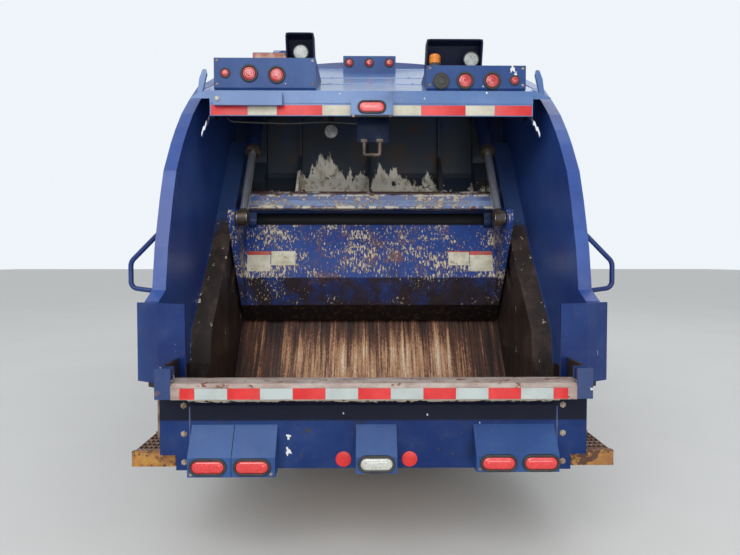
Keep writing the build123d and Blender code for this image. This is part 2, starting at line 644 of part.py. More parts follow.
# Chassis rails and cross members
with BuildPart() as frame_rails:
    for hand in SIDES:
        block((hand * RAIL_HALF[0], hand * RAIL_HALF[1]), (2250, 9060), RAIL_Z)
        block((hand * (RAIL_HALF[0] - 5), hand * (RAIL_HALF[1] - 12)), (2245, 9065),
              (RAIL_Z[0] + 12, RAIL_Z[1] - 12), mode=Mode.SUBTRACT)
    for t in (2300, 3150, 4300, 5400, 9000):
        block((-RAIL_HALF[1], RAIL_HALF[1]), (t - 40, t + 40), (RAIL_Z[0] + 100, RAIL_Z[1] - 30))
save(frame_rails, "frame_rails")

# Engine block between the rails, its gearbox behind it
with BuildPart() as engine:
    block((-345, 345), (7250, 8250), (640, 1480))
    block((-230, 230), (6700, 7250), (680, 1080))
save(engine, "engine")

# Axles: the two rear ones with housings, walking beams and shafts, and the front beam on its springs
with BuildPart() as axles:
    for t in REAR_AXLES:
        cross_rod(-560, 560, (t, TYRE_RADIUS), 75)
        cross_rod(-1060, 1060, (t, TYRE_RADIUS), 45)
        rod((0, ahead(t - 150), TYRE_RADIUS), (0, ahead(t + 150), TYRE_RADIUS), 190)
    for hand in SIDES:
        beam = side((2440, 560), (3150, 640), (3860, 560), (3860, 490), (3150, 560), (2440, 490))
        prism(beam, hand * 452, hand * 540)
        block((hand * 440, hand * 540), (2900, 3400), (600, 800))
        block((hand * RAIL_HALF[1], hand * 460), (2950, 3350), (700, 860))
    rod((0, ahead(2600), TYRE_RADIUS), (0, ahead(3700), TYRE_RADIUS), 55)
    rod((0, ahead(3950), 540), (0, ahead(6690), 820), 55)
    block((-YOKE_X, YOKE_X), (FRONT_AXLE - 60, FRONT_AXLE + 60), (450, 560))
    for hand in SIDES:
        block((hand * YOKE_X, hand * 860), (FRONT_AXLE - 50, FRONT_AXLE + 50), (590, 640))
        block((hand * YOKE_X, hand * 860), (FRONT_AXLE - 50, FRONT_AXLE + 50), (400, 450))
        block((hand * 690, hand * YOKE_X), (FRONT_AXLE - 60, FRONT_AXLE + 60), (400, 640))
        with Locations((hand * KINGPIN_X, ahead(FRONT_AXLE), TYRE_RADIUS)):
            Cylinder(24, 240)
        spring = side((6990, 700), (FRONT_AXLE, 560), (8150, 700), (8150, 735), (FRONT_AXLE, 640), (6990, 735))
        prism(spring, hand * 440, hand * 520)
        block((hand * 440, hand * 520), (FRONT_AXLE - 80, FRONT_AXLE + 80), (555, 600))
        for t in (6990, 8150):
            block((hand * RAIL_HALF[1], hand * 520), (t - 45, t + 45), (700, 800))
save(axles, "axles")

# Tanks and boxes along the rails
with BuildPart() as fuel_tank:
    with BuildSketch(Plane.XZ.offset(-ahead(5300))) as tank_end:
        with Locations((845, 770)):
            RectangleRounded(600, 560, 150)
    extrude(tank_end.sketch, amount=-1300)
    for t in (5500, 6350):
        block((RAIL_HALF[1], 545), (t, t + 60), (RAIL_Z[0] + 10, RAIL_Z[1] - 20))
save(fuel_tank, "fuel_tank")

with BuildPart() as side_boxes:
    block((-1100, -560), (4900, 5800), (560, 1040))
    block((-560, -RAIL_HALF[1]), (5000, 5700), (RAIL_Z[0] + 10, RAIL_Z[1] - 20))
    block((-1120, -560), (6050, 6650), (560, 1000))
    block((-560, -RAIL_HALF[1]), (6100, 6600), (RAIL_Z[0] + 10, RAIL_Z[1] - 20))
save(side_boxes, "side_boxes")

# Mudguards over the tandem wheels and their flaps
GUARD_OUT = 1215
GUARD_SPAN = (2250, 4397)
GUARD_TOP = 1097
GUARD_SHEET = 12
with BuildPart() as mudguards:
    for hand in SIDES:
        block((hand * 560, hand * GUARD_OUT), GUARD_SPAN, (GUARD_TOP - GUARD_SHEET, GUARD_TOP))
        block((hand * 600, hand * GUARD_OUT), (GUARD_SPAN[1] - GUARD_SHEET, GUARD_SPAN[1]), (560, GUARD_TOP))
        block((hand * (GUARD_OUT - GUARD_SHEET), hand * GUARD_OUT), GUARD_SPAN, (1040, GUARD_TOP))
        for t in (2400, 3150, 3900):
            block((hand * RAIL_HALF[1], hand * 560), (t - 20, t + 20), (1040, GUARD_TOP))
save(mudguards, "mudguards")

# Exhaust stack and air cleaner behind the cab
STACK_T = 7200
STACK_ARM = (STACK_T - 50, STACK_T + 50)
with BuildPart() as exhaust_stack:
    with Locations((700, ahead(STACK_T), 2050)):
        Cylinder(90, 1500)
    with Locations((700, ahead(STACK_T), 3000)):
        Cylinder(55, 500)
    block((RAIL_HALF[1], 520), STACK_ARM, (850, 1150))
    block((RAIL_HALF[1], 760), STACK_ARM, (1090, 1150))
    block((640, 760), STACK_ARM, (1090, 1310))
save(exhaust_stack, "exhaust_stack")

with BuildPart() as air_cleaner:
    with Locations((-700, ahead(STACK_T), 1900)):
        Cylinder(190, 700)
    with Locations((-700, ahead(STACK_T), 2600)):
        Cylinder(80, 720)
    block((-520, -RAIL_HALF[1]), STACK_ARM, (850, 1150))
    block((-760, -RAIL_HALF[1]), STACK_ARM, (1090, 1150))
    block((-760, -640), STACK_ARM, (1090, 1560))
save(air_cleaner, "air_cleaner")

# Front bumper with a tow lug in each notch, and the brackets and pins that the cab tilts on
TOW_EYE = (390, 9262, 555)
BUMPER_Z = (420, 660)
with BuildPart() as front_bumper:
    plan = [(-CAB_HALF, 9110), (-CAB_HALF, 9200), (-1050, 9290), (1050, 9290), (CAB_HALF, 9200),
            (CAB_HALF, 9110)]
    slab(plan, *BUMPER_Z)
    for hand in SIDES:
        block((hand * (TOW_EYE[0] - 60), hand * (TOW_EYE[0] + 60)), (9190, 9300),
              (BUMPER_Z[0] - 10, BUMPER_Z[1] + 10), mode=Mode.SUBTRACT)
    for hand in SIDES:
        block((hand * (TOW_EYE[0] - 35), hand * (TOW_EYE[0] + 35)), (9180, 9300), (540, 570))
        with Locations((hand * TOW_EYE[0], ahead(TOW_EYE[1]), TOW_EYE[2])):
            Cylinder(20, 40, mode=Mode.SUBTRACT)
        block((hand * RAIL_HALF[0], hand * RAIL_HALF[1]), (9060, 9112), (RAIL_Z[0] - 230, RAIL_Z[1] - 60))
        ear = side((9070, 700), (9070, 850), (CAB_PIVOT[0], 795), (9180, 774), (9180, 748),
                   (CAB_PIVOT[0], 724))
        prism(ear, hand * 400, hand * RAIL_HALF[1])
        cross_rod(hand * 400, hand * 476, CAB_PIVOT, 20)
save(front_bumper, "front_bumper")

with BuildPart() as head_lamps:
    for hand in SIDES:
        block((hand * 620, hand * 980), (9290, 9300), (470, 610))
save(head_lamps, "head_lamps")

with BuildPart() as cab_steps:
    for hand in SIDES:
        block((hand * 1000, hand * 1190), (8400, 9000), (400, 430))
        block((hand * 1000, hand * 1012), (8400, 9000), (430, 680))
        block((hand * RAIL_HALF[1], hand * 1000), (8480, 8540), (560, 760))
        block((hand * RAIL_HALF[1], hand * 1000), (8860, 8920), (560, 760))
save(cab_steps, "cab_steps")

# Cab shell with its door openings, windows and the tunnel over the engine
HINGE_LEVELS = (1320, 1620)
DOOR_OUTLINE = ((8266, 1201), (8266, 2554), (8944, 2554), (9084, 1800), (9104, 1201))
with BuildPart() as cab_shell:
    outer = side((CAB_REAR, CAB_BOTTOM), (CAB_REAR, 2700), (7560, 2750), (8880, 2750), (9060, 2690),
                 (9235, 1720), (CAB_FRONT, 1600), (CAB_FRONT, CAB_BOTTOM))
    prism(outer, -CAB_HALF, CAB_HALF)
    room = side((CAB_REAR + SKIN, CAB_FLOOR), (CAB_REAR + SKIN, 2690), (8870, 2690), (9005, 2640),
                (9170, 1720), (9185, 1600), (9185, CAB_FLOOR))
    prism(room, -CAB_HALF + SKIN, CAB_HALF - SKIN, mode=Mode.SUBTRACT)
    block((-450, 450), (CAB_REAR, 8330), (CAB_BOTTOM, 1570))
    block((-410, 410), (CAB_REAR - 10, 8290), (CAB_BOTTOM - 10, 1530), mode=Mode.SUBTRACT)
    gap = side((8260, 1195), (8260, 2560), (8948, 2560), (9090, 1800), (9110, 1195))
    for hand in SIDES:
        prism(gap, hand * (CAB_HALF - SKIN - 5), hand * (CAB_HALF + 5), mode=Mode.SUBTRACT)
        block((hand * (CAB_HALF - SKIN - 5), hand * (CAB_HALF + 5)), *QUARTER_WINDOW, mode=Mode.SUBTRACT)
    block((-WINDSCREEN_HALF, WINDSCREEN_HALF), (8980, 9300), (1790, 2560), mode=Mode.SUBTRACT)
    block(REAR_WINDOW[0], (CAB_REAR - 5, CAB_REAR + SKIN + 5), REAR_WINDOW[1], mode=Mode.SUBTRACT)
    # Hinge brackets and pins of the doors
    for hand in SIDES:
        for z in HINGE_LEVELS:
            with Locations((hand * DOOR_HINGE_X, ahead(DOOR_HINGE_T), z + 40)):
                Cylinder(HINGE_PIN, 100)
            for z_low in (z - 10, z + 60):
                bracket = [(1195, 9125), (1195, 9165), (1206, 9165), (1224, 9118), (1224, 9106), (1207, 9106)]
                slab([(hand * x, t) for x, t in bracket], z_low, z_low + 30)
save(cab_shell, "cab_shell")

# Cab skirt: the low front wall, its side returns and the lugs that the cab tilts on
with BuildPart() as cab_skirt:
    for hand in SIDES:
        block((hand * (CAB_HALF - SKIN), hand * CAB_HALF), (8220, CAB_FRONT), (CAB_SKIRT, CAB_BOTTOM))
        block((hand * 600, hand * CAB_HALF), (8220, 8280), (CAB_SKIRT, CAB_BOTTOM))
        arm = side((9112, CAB_BOTTOM), (9190, CAB_BOTTOM), (9190, 760), (CAB_PIVOT[0], 724), (9116, 760))
        prism(arm, hand * 438, hand * 472)
        cross_rod(hand * 438, hand * 472, CAB_PIVOT, 36)
        cross_rod(hand * 430, hand * 480, CAB_PIVOT, 20 + PIN_PLAY, mode=Mode.SUBTRACT)
    block((-CAB_HALF, CAB_HALF), (9190, CAB_FRONT), (CAB_SKIRT, CAB_BOTTOM))
save(cab_skirt, "cab_skirt")

with BuildPart() as cab_glass:
    screen = side((9184, 1790), (9196, 1790), (9057, 2560), (9045, 2560))
    prism(screen, -WINDSCREEN_HALF, WINDSCREEN_HALF)
    block(REAR_WINDOW[0], (CAB_REAR + 20, CAB_REAR + 28), REAR_WINDOW[1])
    for hand in SIDES:
        block((hand * 1165, hand * 1173), *QUARTER_WINDOW)
save(cab_glass, "cab_glass")

with BuildPart() as cab_interior:
    prism(side((8900, 1500), (8880, 1700), (9000, 1770), (9165, 1700), (9165, 1500)), -1135, 1135)
    rod((-SEAT_X, ahead(8920), 1650), (-SEAT_X, ahead(8780), 1860), 30)
    with Locations(Location((-SEAT_X, ahead(8775), 1868), (34, 0, 0))):
        Torus(215, 16)
        Box(420, 40, 20)
save(cab_interior, "cab_interior")

with BuildPart() as seats:
    for x in (-SEAT_X, SEAT_X):
        block((x - 200, x + 200), (8060, 8480), (CAB_FLOOR, 1480))
        block((x - 250, x + 250), (8020, 8530), (1480, 1620))
        prism(side((8020, 1600), (7900, 2330), (8000, 2350), (8150, 1620)), x - 240, x + 240)
save(seats, "seats")

with BuildPart() as mirrors:
    for hand in SIDES:
        block((hand * CAB_HALF, hand * 1330), (9140, 9165), (1880, 1905))
        block((hand * CAB_HALF, hand * 1230), (9030, 9165), (2465, 2490))
        block((hand * 1230, hand * 1330), (9140, 9165), (2465, 2490))
        block((hand * 1225, hand * 1400), (9140, 9190), (1905, 2465))
save(mirrors, "mirrors")


# Doors, each a panel with its window cut out and its glass
def door(name, hand):
    """One cab door and its window glass."""
    with BuildPart() as panel:
        prism(side(*DOOR_OUTLINE), hand * (CAB_HALF - 55), hand * CAB_HALF)
        window = side(*DOOR_WINDOW)
        prism(window, hand * (CAB_HALF - 60), hand * (CAB_HALF + 5), mode=Mode.SUBTRACT)
        for z in HINGE_LEVELS:
            strap = [(1195, 8990), (1195, 9078), (1205, 9090), (1205, 9122), (1223, 9122), (1223, 9104),
                     (1208, 8990)]
            slab([(hand * x, t) for x, t in strap], z + 22, z + 58)
            with Locations((hand * DOOR_HINGE_X, ahead(DOOR_HINGE_T), z + 40)):
                Cylinder(HINGE_PIN + PIN_PLAY, 60, mode=Mode.SUBTRACT)
    save(panel, f"door_{name}")
    with BuildPart() as glass:
        prism(window, hand * 1168, hand * 1176)
    save(glass, f"door_glass_{name}")


door("left", -1)
door("right", 1)


def steering_knuckle(name, hand):
    """One steering knuckle: an upright on the kingpin and the spindle that carries the hub."""
    with BuildPart() as knuckle:
        x_in, x_out = hand * 775, hand * 875
        block((x_in, x_out), (FRONT_AXLE - 45, FRONT_AXLE + 45), (456, 584))
        cross_rod(x_out, hand * (FRONT_TRACK_X + 40), (FRONT_AXLE, TYRE_RADIUS), 40)
        with Locations((hand * KINGPIN_X, ahead(FRONT_AXLE), TYRE_RADIUS)):
            Cylinder(24 + PIN_PLAY, 300, mode=Mode.SUBTRACT)
    save(knuckle, f"knuckle_{name}")


steering_knuckle("left", -1)
steering_knuckle("right", 1)


def tyre_profile():
    """Half section of a tyre, (X, radius), its bead seats at the rim's radius."""
    w, r = TYRE_WIDTH / 2, TYRE_RADIUS
    points = [(-0.72 * w, SEAT_RADIUS), (-0.97 * w, 310), (-w, 400), (-0.94 * w, 480), (-0.8 * w, r - 6),
              (-0.6 * w, r)]
    return points + [(-x, radius) for x, radius in reversed(points)]


def rim_profile(hand, dish):
    """Half section of a rim with its disc set out by dish toward the hand given."""
    w = 0.72 * TYRE_WIDTH / 2
    disc = hand * dish
    return [(-w, SEAT_RADIUS), (-w, 262), (disc - 8, 240), (disc - 8, 110), (disc + 8, 110),
            (disc + 8, 240), (w, 262), (w, SEAT_RADIUS)]


def wheel(name, hand, t, x_places, spindle, hub):
    """A single or dual wheel: its tyres as one piece and its rims with the hub as another."""
    with BuildPart() as tyre:
        for x in x_places:
            turned(tyre_profile(), hand * x, t, TYRE_RADIUS)
    save(tyre, f"tyre_{name}")
    with BuildPart() as rim:
        for x, dish in zip(x_places, (60, -60) if len(x_places) == 2 else (-60,)):
            turned(rim_profile(hand, dish), hand * x, t, TYRE_RADIUS)
        cross_rod(hand * hub[0], hand * hub[1], (t, TYRE_RADIUS), 125)
        cross_rod(hand * (hub[0] - 5), hand * (hub[1] - 30), (t, TYRE_RADIUS), spindle + PIN_PLAY,
                  mode=Mode.SUBTRACT)
    save(rim, f"rim_{name}")


for word, hand in (("left", -1), ("right", 1)):
    wheel(f"front_{word}", hand, FRONT_AXLE, (FRONT_TRACK_X,), 40, (FRONT_TRACK_X - 100, FRONT_TRACK_X + 90))
    for t, axle in zip(REAR_AXLES, ("rear", "mid")):
        wheel(f"{axle}_{word}", hand, t, DUAL_X, 45, (600, 1110))
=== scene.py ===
# %% [markdown]
# A rear loading garbage truck stands on a pale floor and is seen from behind, as a loader sees it.
# The solids come from a CAD model that is packed once and never changed here.
# This lesson dresses them: it gives every solid a worked finish, and adds what CAD leaves out,
# such as lamps with ribbed lenses, marker tape, an open grating, treaded tyres and stuffed seats.
# Every shape is a surface worked out with numpy, so each cell is a small lesson in form.

import math

import bmesh
import bpy
import numpy as np
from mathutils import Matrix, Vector


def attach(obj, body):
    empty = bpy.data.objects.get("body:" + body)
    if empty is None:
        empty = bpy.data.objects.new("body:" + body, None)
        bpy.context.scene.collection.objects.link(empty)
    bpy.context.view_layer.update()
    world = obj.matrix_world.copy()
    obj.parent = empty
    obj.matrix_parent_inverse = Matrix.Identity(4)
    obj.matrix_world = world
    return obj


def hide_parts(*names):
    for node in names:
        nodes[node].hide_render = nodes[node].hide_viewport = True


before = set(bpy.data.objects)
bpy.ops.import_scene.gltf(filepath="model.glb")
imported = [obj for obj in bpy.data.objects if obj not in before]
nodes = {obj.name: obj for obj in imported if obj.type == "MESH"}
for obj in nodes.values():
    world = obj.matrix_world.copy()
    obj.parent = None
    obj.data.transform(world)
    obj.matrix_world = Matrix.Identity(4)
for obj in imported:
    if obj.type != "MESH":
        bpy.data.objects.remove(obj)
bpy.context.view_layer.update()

# %% [markdown]
# Places along the truck are told from the loading sill's rear face, as in the CAD source.
# One small function turns such a distance into the row's Y, so the numbers below can be read
# against the real machine. All lengths are metres, and a place is (x, t, z) with t ahead of the sill.

# %% A ruler along the truck
HALF_LENGTH = 4.65
HANDS = (-1, 1)
SIDES = ((-1, "left"), (1, "right"))
REARWARD, FORWARD, RIGHT, UP = (0, -1, 0), (0, 1, 0), (1, 0, 0), (0, 0, 1)


def ahead(t):
    """Y of a place that is t metres ahead of the sill's rear face: t less half the truck's length."""
    return t - HALF_LENGTH


def at(x, t, z):
    """X, Y and Z of a place (x, t, z)."""
    return x, ahead(t), z


print("the sill's rear face is at y =", ahead(0))

# %% [markdown]
# The camera stands where the photographer stood: 2.6 m behind the sill, at eye height, and a little
# left of the middle. A phone's wide lens is about 27 mm on full frame. It looks very slightly down.

# %% Camera
scene = bpy.context.scene
camera = bpy.data.objects.new("camera", bpy.data.cameras.new("camera"))
scene.collection.objects.link(camera)
camera.data.lens = 27.1
camera.data.clip_end = 200
camera.location = at(-0.047, -2.58, 1.55)
camera.rotation_euler = (math.radians(90 - 1.78), 0, math.radians(-0.58))
scene.camera = camera
print("camera at", tuple(camera.location))

# %% [markdown]
# Finishes are built from a few bricks: a place on the object, noise at some scale, a threshold that
# turns noise into patches, and a mix of two colours. Each brick adds nodes to the material that lies on
# the bench. All read Object coordinates, so a stain keeps its real size. Values can be added,
# subtracted and multiplied like numbers, and each such sum adds one node.

# %% Bricks for finishes
class Bench:
    """The material in work: its nodes and its surface shader."""
    tree = shader = None


class Value:
    """A number or a colour that is worked out at each place of a surface."""
    def __init__(self, plug):
        self.plug = plug

    def __add__(self, other):
        return work("ADD", self, other)

    def __sub__(self, other):
        return work("SUBTRACT", self, other)

    def __mul__(self, other):
        return work("MULTIPLY", self, other)

    def __abs__(self):
        return work("ABSOLUTE", self)


def node(kind, plugs=None, **settings):
    """Adds a node, sets it up, and fills its sockets with numbers or with values. It returns the outputs."""
    made = Bench.tree.nodes.new(kind)
    for key, value in settings.items():
        setattr(made, key, value)
    for key, value in (plugs or {}).items():
        if isinstance(value, Value):
            Bench.tree.links.new(value.plug, made.inputs[key])
        else:
            made.inputs[key].default_value = value
    return made.outputs


def work(operation, a, b=0.0):
    """One sum on two values."""
    return Value(node("ShaderNodeMath", {0: a, 1: b}, operation=operation)[0])


def larger(a, b):
    """The larger of two values at each place."""
    return work("MAXIMUM", a, b)


print("values can be added, subtracted and multiplied")

# %% [markdown]
# A pattern on a big machine has to keep its real size, so these bricks start from the place on the
# object in metres. Noise gives the unevenness of rust and dust, a threshold cuts patches out of it,
# and a zone keeps a stain to one stretch of the truck.

# %% Places, noise and patches
def where(stretch=(1, 1, 1)):
    """Object coordinates in metres, multiplied on each axis to squeeze or stretch a pattern."""
    place = Value(node("ShaderNodeTexCoord")["Object"])
    return Value(node("ShaderNodeMapping", {"Vector": place, "Scale": stretch})[0])


def axis(letter):
    """One coordinate of the place on the object."""
    return Value(node("ShaderNodeSeparateXYZ", {0: Value(node("ShaderNodeTexCoord")["Object"])})[letter])


def grain(scale, stretch=(1, 1, 1), detail=5.0, rough=0.6):
    """Fractal noise, from 0 to 1, with a number of features per metre."""
    return Value(node("ShaderNodeTexNoise", {"Vector": where(stretch), "Scale": scale, "Detail": detail,
                                             "Roughness": rough})["Fac"])


def patch(value, low, high):
    """0 below low, 1 above high, and a smooth step between: turns noise into patches."""
    return Value(node("ShaderNodeMapRange", {"Value": value, "From Min": low, "From Max": high},
                      interpolation_type="SMOOTHSTEP")[0])


def zone(letter, low, high, soft=0.01, mirrored=False):
    """1 between two places along an axis, 0 outside, with soft ends; mirrored takes both sides."""
    value = abs(axis(letter)) if mirrored else axis(letter)
    return patch(value, low - soft, low + soft) * patch(value, high + soft, high - soft)


def blend(factor, a, b):
    """A colour between a and b."""
    a, b = ((*c, 1) if isinstance(c, tuple) else c for c in (a, b))
    return Value(node("ShaderNodeMix", {0: factor, 6: a, 7: b}, data_type="RGBA")[2])


def between(factor, a, b):
    """A number between a and b."""
    return Value(node("ShaderNodeMix", {0: factor, 2: a, 3: b})[0])


print("places, noise and patches ready")

# %% [markdown]
# A material lies on the bench while it is made. Its colour and its roughness are fed from the bricks, a
# relief tilts the light, and more layers can be laid over it later, as dirt lies over paint. It keeps
# one surface shader throughout, so a new layer changes only what it covers.

# %% A material on the bench
looks = {}


def paint_on(material):
    """Lays a material on the bench, so that the bricks add to it."""
    Bench.tree = material.node_tree
    Bench.shader = Bench.tree.nodes["Principled BSDF"]


def finish(name, metallic=0.0, coat=0.0, transmission=0.0, ior=1.5, coat_roughness=0.1, specular=0.5):
    """A new material on the bench, with one surface shader."""
    looks[name] = made = bpy.data.materials.new(name)
    made.use_nodes = True
    paint_on(made)
    for socket, value in (("Metallic", metallic), ("Coat Weight", coat), ("Coat Roughness", coat_roughness),
                          ("Transmission Weight", transmission), ("IOR", ior),
                          ("Specular IOR Level", specular)):
        Bench.shader.inputs[socket].default_value = value


def feed(socket, value):
    """Plugs a value into one of the shader's sockets."""
    Bench.tree.links.new(value.plug, Bench.shader.inputs[socket])


def relief(height, strength, distance=0.001):
    """Bump: a height pattern that tilts the light, with no change of shape."""
    feed("Normal", Value(node("ShaderNodeBump", {"Height": height, "Strength": strength,
                                                 "Distance": distance})[0]))


def lay(mask, colour, rough):
    """Lays one more colour over the material on the bench, where the mask is 1, with its own roughness."""
    under, below = (Value(Bench.shader.inputs[socket].links[0].from_socket)
                    for socket in ("Base Color", "Roughness"))
    feed("Base Color", blend(mask, under, colour))
    feed("Roughness", between(mask, below, rough))


print("bricks ready")

# %% [markdown]
# An overcast sky is one very large soft lamp. The world gives even light from all sides, and two wide
# lamps above and behind the viewer, with a low one, stand for the brighter parts of the sky. The
# background that the camera, mirrors and glass see is plain near white, and lights nothing.

# %% Sky and lamps
scene.view_settings.view_transform = "Standard"
scene.world = world = bpy.data.worlds.new("overcast")
world.use_nodes = True
Bench.tree = world.node_tree
Bench.tree.nodes.clear()
ray = node("ShaderNodeLightPath")
direct, through, mirrored = (Value(ray[f"Is {kind} Ray"]) for kind in ("Camera", "Transmission", "Glossy"))
seen = larger(larger(direct, through), mirrored)
light_part, seen_part = (Value(node("ShaderNodeBackground", {"Color": colour, "Strength": strength})[0])
                         for colour, strength in (((0.93, 0.97, 1, 1), 0.75), ((0.86, 0.91, 0.95, 1), 1.0)))
choose = node("ShaderNodeMixShader", {0: seen, 1: light_part, 2: seen_part})
node("ShaderNodeOutputWorld", {"Surface": Value(choose[0])})

for name, size, watts, place, target in (("sky_behind", 7, 620, (-2.5, -12.5, 7.5), (0, -3.5, 1.4)),
                                         ("sky_above", 9, 260, (3, 2, 11), (0, 0, 1)),
                                         ("sky_low_behind", 5, 200, (1.5, -12.0, 2.0), (0, -3.0, 2.2))):
    lamp = bpy.data.lights.new(name, "AREA")
    lamp.shape, lamp.size, lamp.energy = "SQUARE", size, watts
    thing = bpy.data.objects.new(name, lamp)
    scene.collection.objects.link(thing)
    thing.location = place
    thing.rotation_euler = (Vector(target) - Vector(place)).to_track_quat("-Z", "Y").to_euler()
print("three soft lamps and an even sky")

# %% [markdown]
# The truck's blue enamel is old. Rain and brooms have dulled it in clouds, dust lies in it, and where
# metal or bins knock it, the enamel flakes off to pale primer and then to rust. One function makes every
# blue on the truck: how much has flaked, how rusty it is and which way the scratches run are its dials.

# %% Old enamel
DEEP_BLUE, FADED_BLUE = (0.008, 0.026, 0.135), (0.019, 0.052, 0.190)
PRIMER, GRIME, DUST = (0.60, 0.585, 0.52), (0.020, 0.019, 0.022), (0.13, 0.15, 0.19)
RUST, PALE_RUST = (0.135, 0.052, 0.022), (0.26, 0.115, 0.05)


def enamel(name, base=DEEP_BLUE, faded=FADED_BLUE, flaked=0.2, rusty=0.2, grimy=0.3, flake_scale=26,
           run=(1, 1, 1), gloss=0.36, sheen=0.4):
    """Enamel over primer over rust: clouds of fading and grime, then flakes, then rust in them, each laid
    on with soft thresholds."""
    finish(name, coat=0.3 * sheen, coat_roughness=0.2, specular=sheen)
    colour = blend(patch(grain(1.6, detail=7), 0.36, 0.68), base, faded)
    film = patch(grain(9, detail=8, rough=0.7), 0.45, 0.85)
    colour = blend(film * 0.16, colour, DUST)
    dirt = patch(grain(3.1, (1, 1, 0.6), 9, 0.72), 0.62 - 0.2 * grimy, 0.82 - 0.12 * grimy)
    dirt = dirt * min(1.0, 0.35 + grimy)
    colour = blend(dirt, colour, GRIME)
    worn = grain(flake_scale, run, 9, 0.68) * 0.72 + grain(2.3, detail=3) * 0.28
    edge = 0.735 - 0.27 * flaked
    flakes = patch(worn, edge, edge + 0.012)
    colour = blend(flakes, colour, PRIMER)
    eaten = patch(worn, edge + 0.055 - 0.05 * rusty, edge + 0.075 - 0.04 * rusty)
    clouds = patch(grain(5.5, detail=9, rough=0.75), 0.74 - 0.24 * rusty, 0.80 - 0.2 * rusty)
    rust = larger(eaten * clouds, clouds * rusty)
    feed("Base Color", blend(rust, colour, blend(grain(60, detail=6), RUST, PALE_RUST)))
    feed("Roughness", between(larger(larger(flakes, rust), dirt), gloss, 0.75))
    relief(grain(140, detail=3) - flakes * 1.5, 0.18, 0.0015)


enamel("blue_enamel", flaked=0.10, rusty=0.12, grimy=0.25)
enamel("blue_enamel_sides", (0.014, 0.045, 0.215), (0.030, 0.080, 0.290), 0.16, 0.16, 0.25)
enamel("blue_enamel_panel", (0.007, 0.022, 0.105), (0.016, 0.042, 0.150), 0.24, 0.2, 0.45, sheen=0.1)
enamel("blue_enamel_low", (0.006, 0.016, 0.070), (0.011, 0.026, 0.09), 0.12, 0.1, 0.75)
enamel("blue_enamel_boxes", (0.015, 0.048, 0.170), (0.030, 0.082, 0.235), 0.10, 0.08, 0.10, gloss=0.42,
       sheen=0.2)
# The roof's lighter blue is painted light: the top of the tailgate lit by the sky
enamel("blue_enamel_lit_roof", (0.060, 0.130, 0.31), (0.10, 0.19, 0.40), 0.08, 0.06, 0.12, gloss=0.24)
enamel("blue_enamel_knocked", (0.006, 0.020, 0.110), (0.014, 0.042, 0.160), 0.30, 0.28, 0.3, 15,
       (2.2, 2.2, 0.45), sheen=0.25)
enamel("blue_enamel_shaded", (0.004, 0.008, 0.024), (0.008, 0.014, 0.036), 0.1, grimy=0.7, sheen=0.05)
enamel("blue_enamel_latches", (0.010, 0.028, 0.110), (0.020, 0.050, 0.160), 0.46, 0.65, 0.6, 34)
print("nine blues")

# %% [markdown]
# The hopper's floor has no paint left. Refuse is dragged along it, so rust, bare metal and dried slurry
# lie in streaks that run with the load, dark at the sides and pale in the middle. Noise stretched hard
# along the drag gives those streaks, fine specks break them up, and a soft hill in X brightens the middle.

# %% Dragged steel of the hopper
BLEACHED = (0.72, 0.63, 0.50)


def dragged_steel(name, slurry, brown, tan, shift, streaks, dim=None):
    """One worn value runs from slurry through rust to bleached steel. It is the sum of fine streaks,
    broad ones, specks, and a hill that is high in the middle of the truck and, where dim is given, fades
    out between two heights."""
    finish(name, metallic=0.1, specular=0.35)
    thin = grain(75, streaks, 8, 0.62)
    broad = grain(17, (streaks[0], 4 * streaks[1], 4 * streaks[2]), 8, 0.62)
    speck = grain(150, (1, 0.35, 0.35), 4, 0.7)
    hill = patch(abs(axis("X")), 0.90, 0.50)
    if dim:
        hill = hill * patch(axis("Z"), dim[1], dim[0])
    worn = thin * 0.55 + broad * 0.60 + (speck - 0.71) * 0.35 + hill * shift
    colour = slurry
    for tone, low, high in ((brown, 0.42, 0.62), (tan, 0.58, 0.73), (BLEACHED, 0.72, 0.84)):
        colour = blend(patch(worn, low, high), colour, tone)
    feed("Base Color", colour)
    feed("Roughness", between(patch(broad, 0.35, 0.6), 0.36, 0.62))
    relief(thin + speck, 0.25, 0.0015)


# Between 0.80 and 1.08 m high the pale middle fades out: painted shadow under the blade's tip
dragged_steel("hopper_steel", (0.016, 0.010, 0.008), (0.108, 0.041, 0.025), (0.50, 0.275, 0.145), 0.185,
              (1, 0.022, 0.022), (0.80, 1.08))
dragged_steel("liner_steel", (0.013, 0.010, 0.009), (0.045, 0.027, 0.020), (0.12, 0.085, 0.062), 0.02,
              (0.3, 0.3, 0.05))
print("hopper and liner steel")

# %% [markdown]
# The rest are ordinary finishes of a truck, each with the grain it has in life: a sill polished by bins,
# chromed rods with a film of oil, black chassis paint under road dust, cast wheels, rubber and cloth.
# A row gives two tones, the scale of their clouds, roughness, metal, relief and its scale, the stretch,
# and the colour, scale and threshold of a third tone in spots.

# %% Other finishes
EVEN = (1, 1, 1)


def plain_finish(name, colour, second, scale, rough, metallic=0.0, bump=0.15, bump_scale=200, stretch=EVEN,
                 *spots):
    """Two tones mixed by clouds of noise, with fine relief, and an optional third colour in spots."""
    finish(name, metallic=metallic)
    clouds = grain(scale, stretch, 7, 0.65)
    tint = blend(patch(clouds, 0.38, 0.66), colour, second)
    rough_value = between(clouds, rough * 0.8, min(1.0, rough * 1.25))
    if spots:
        marks = patch(grain(spots[1], stretch, 8, 0.7), spots[2], spots[2] + 0.04)
        tint = blend(marks, tint, spots[0])
        rough_value = between(marks, rough_value, 0.8)
    feed("Base Color", tint)
    feed("Roughness", rough_value)
    relief(grain(bump_scale, stretch, 3), bump)


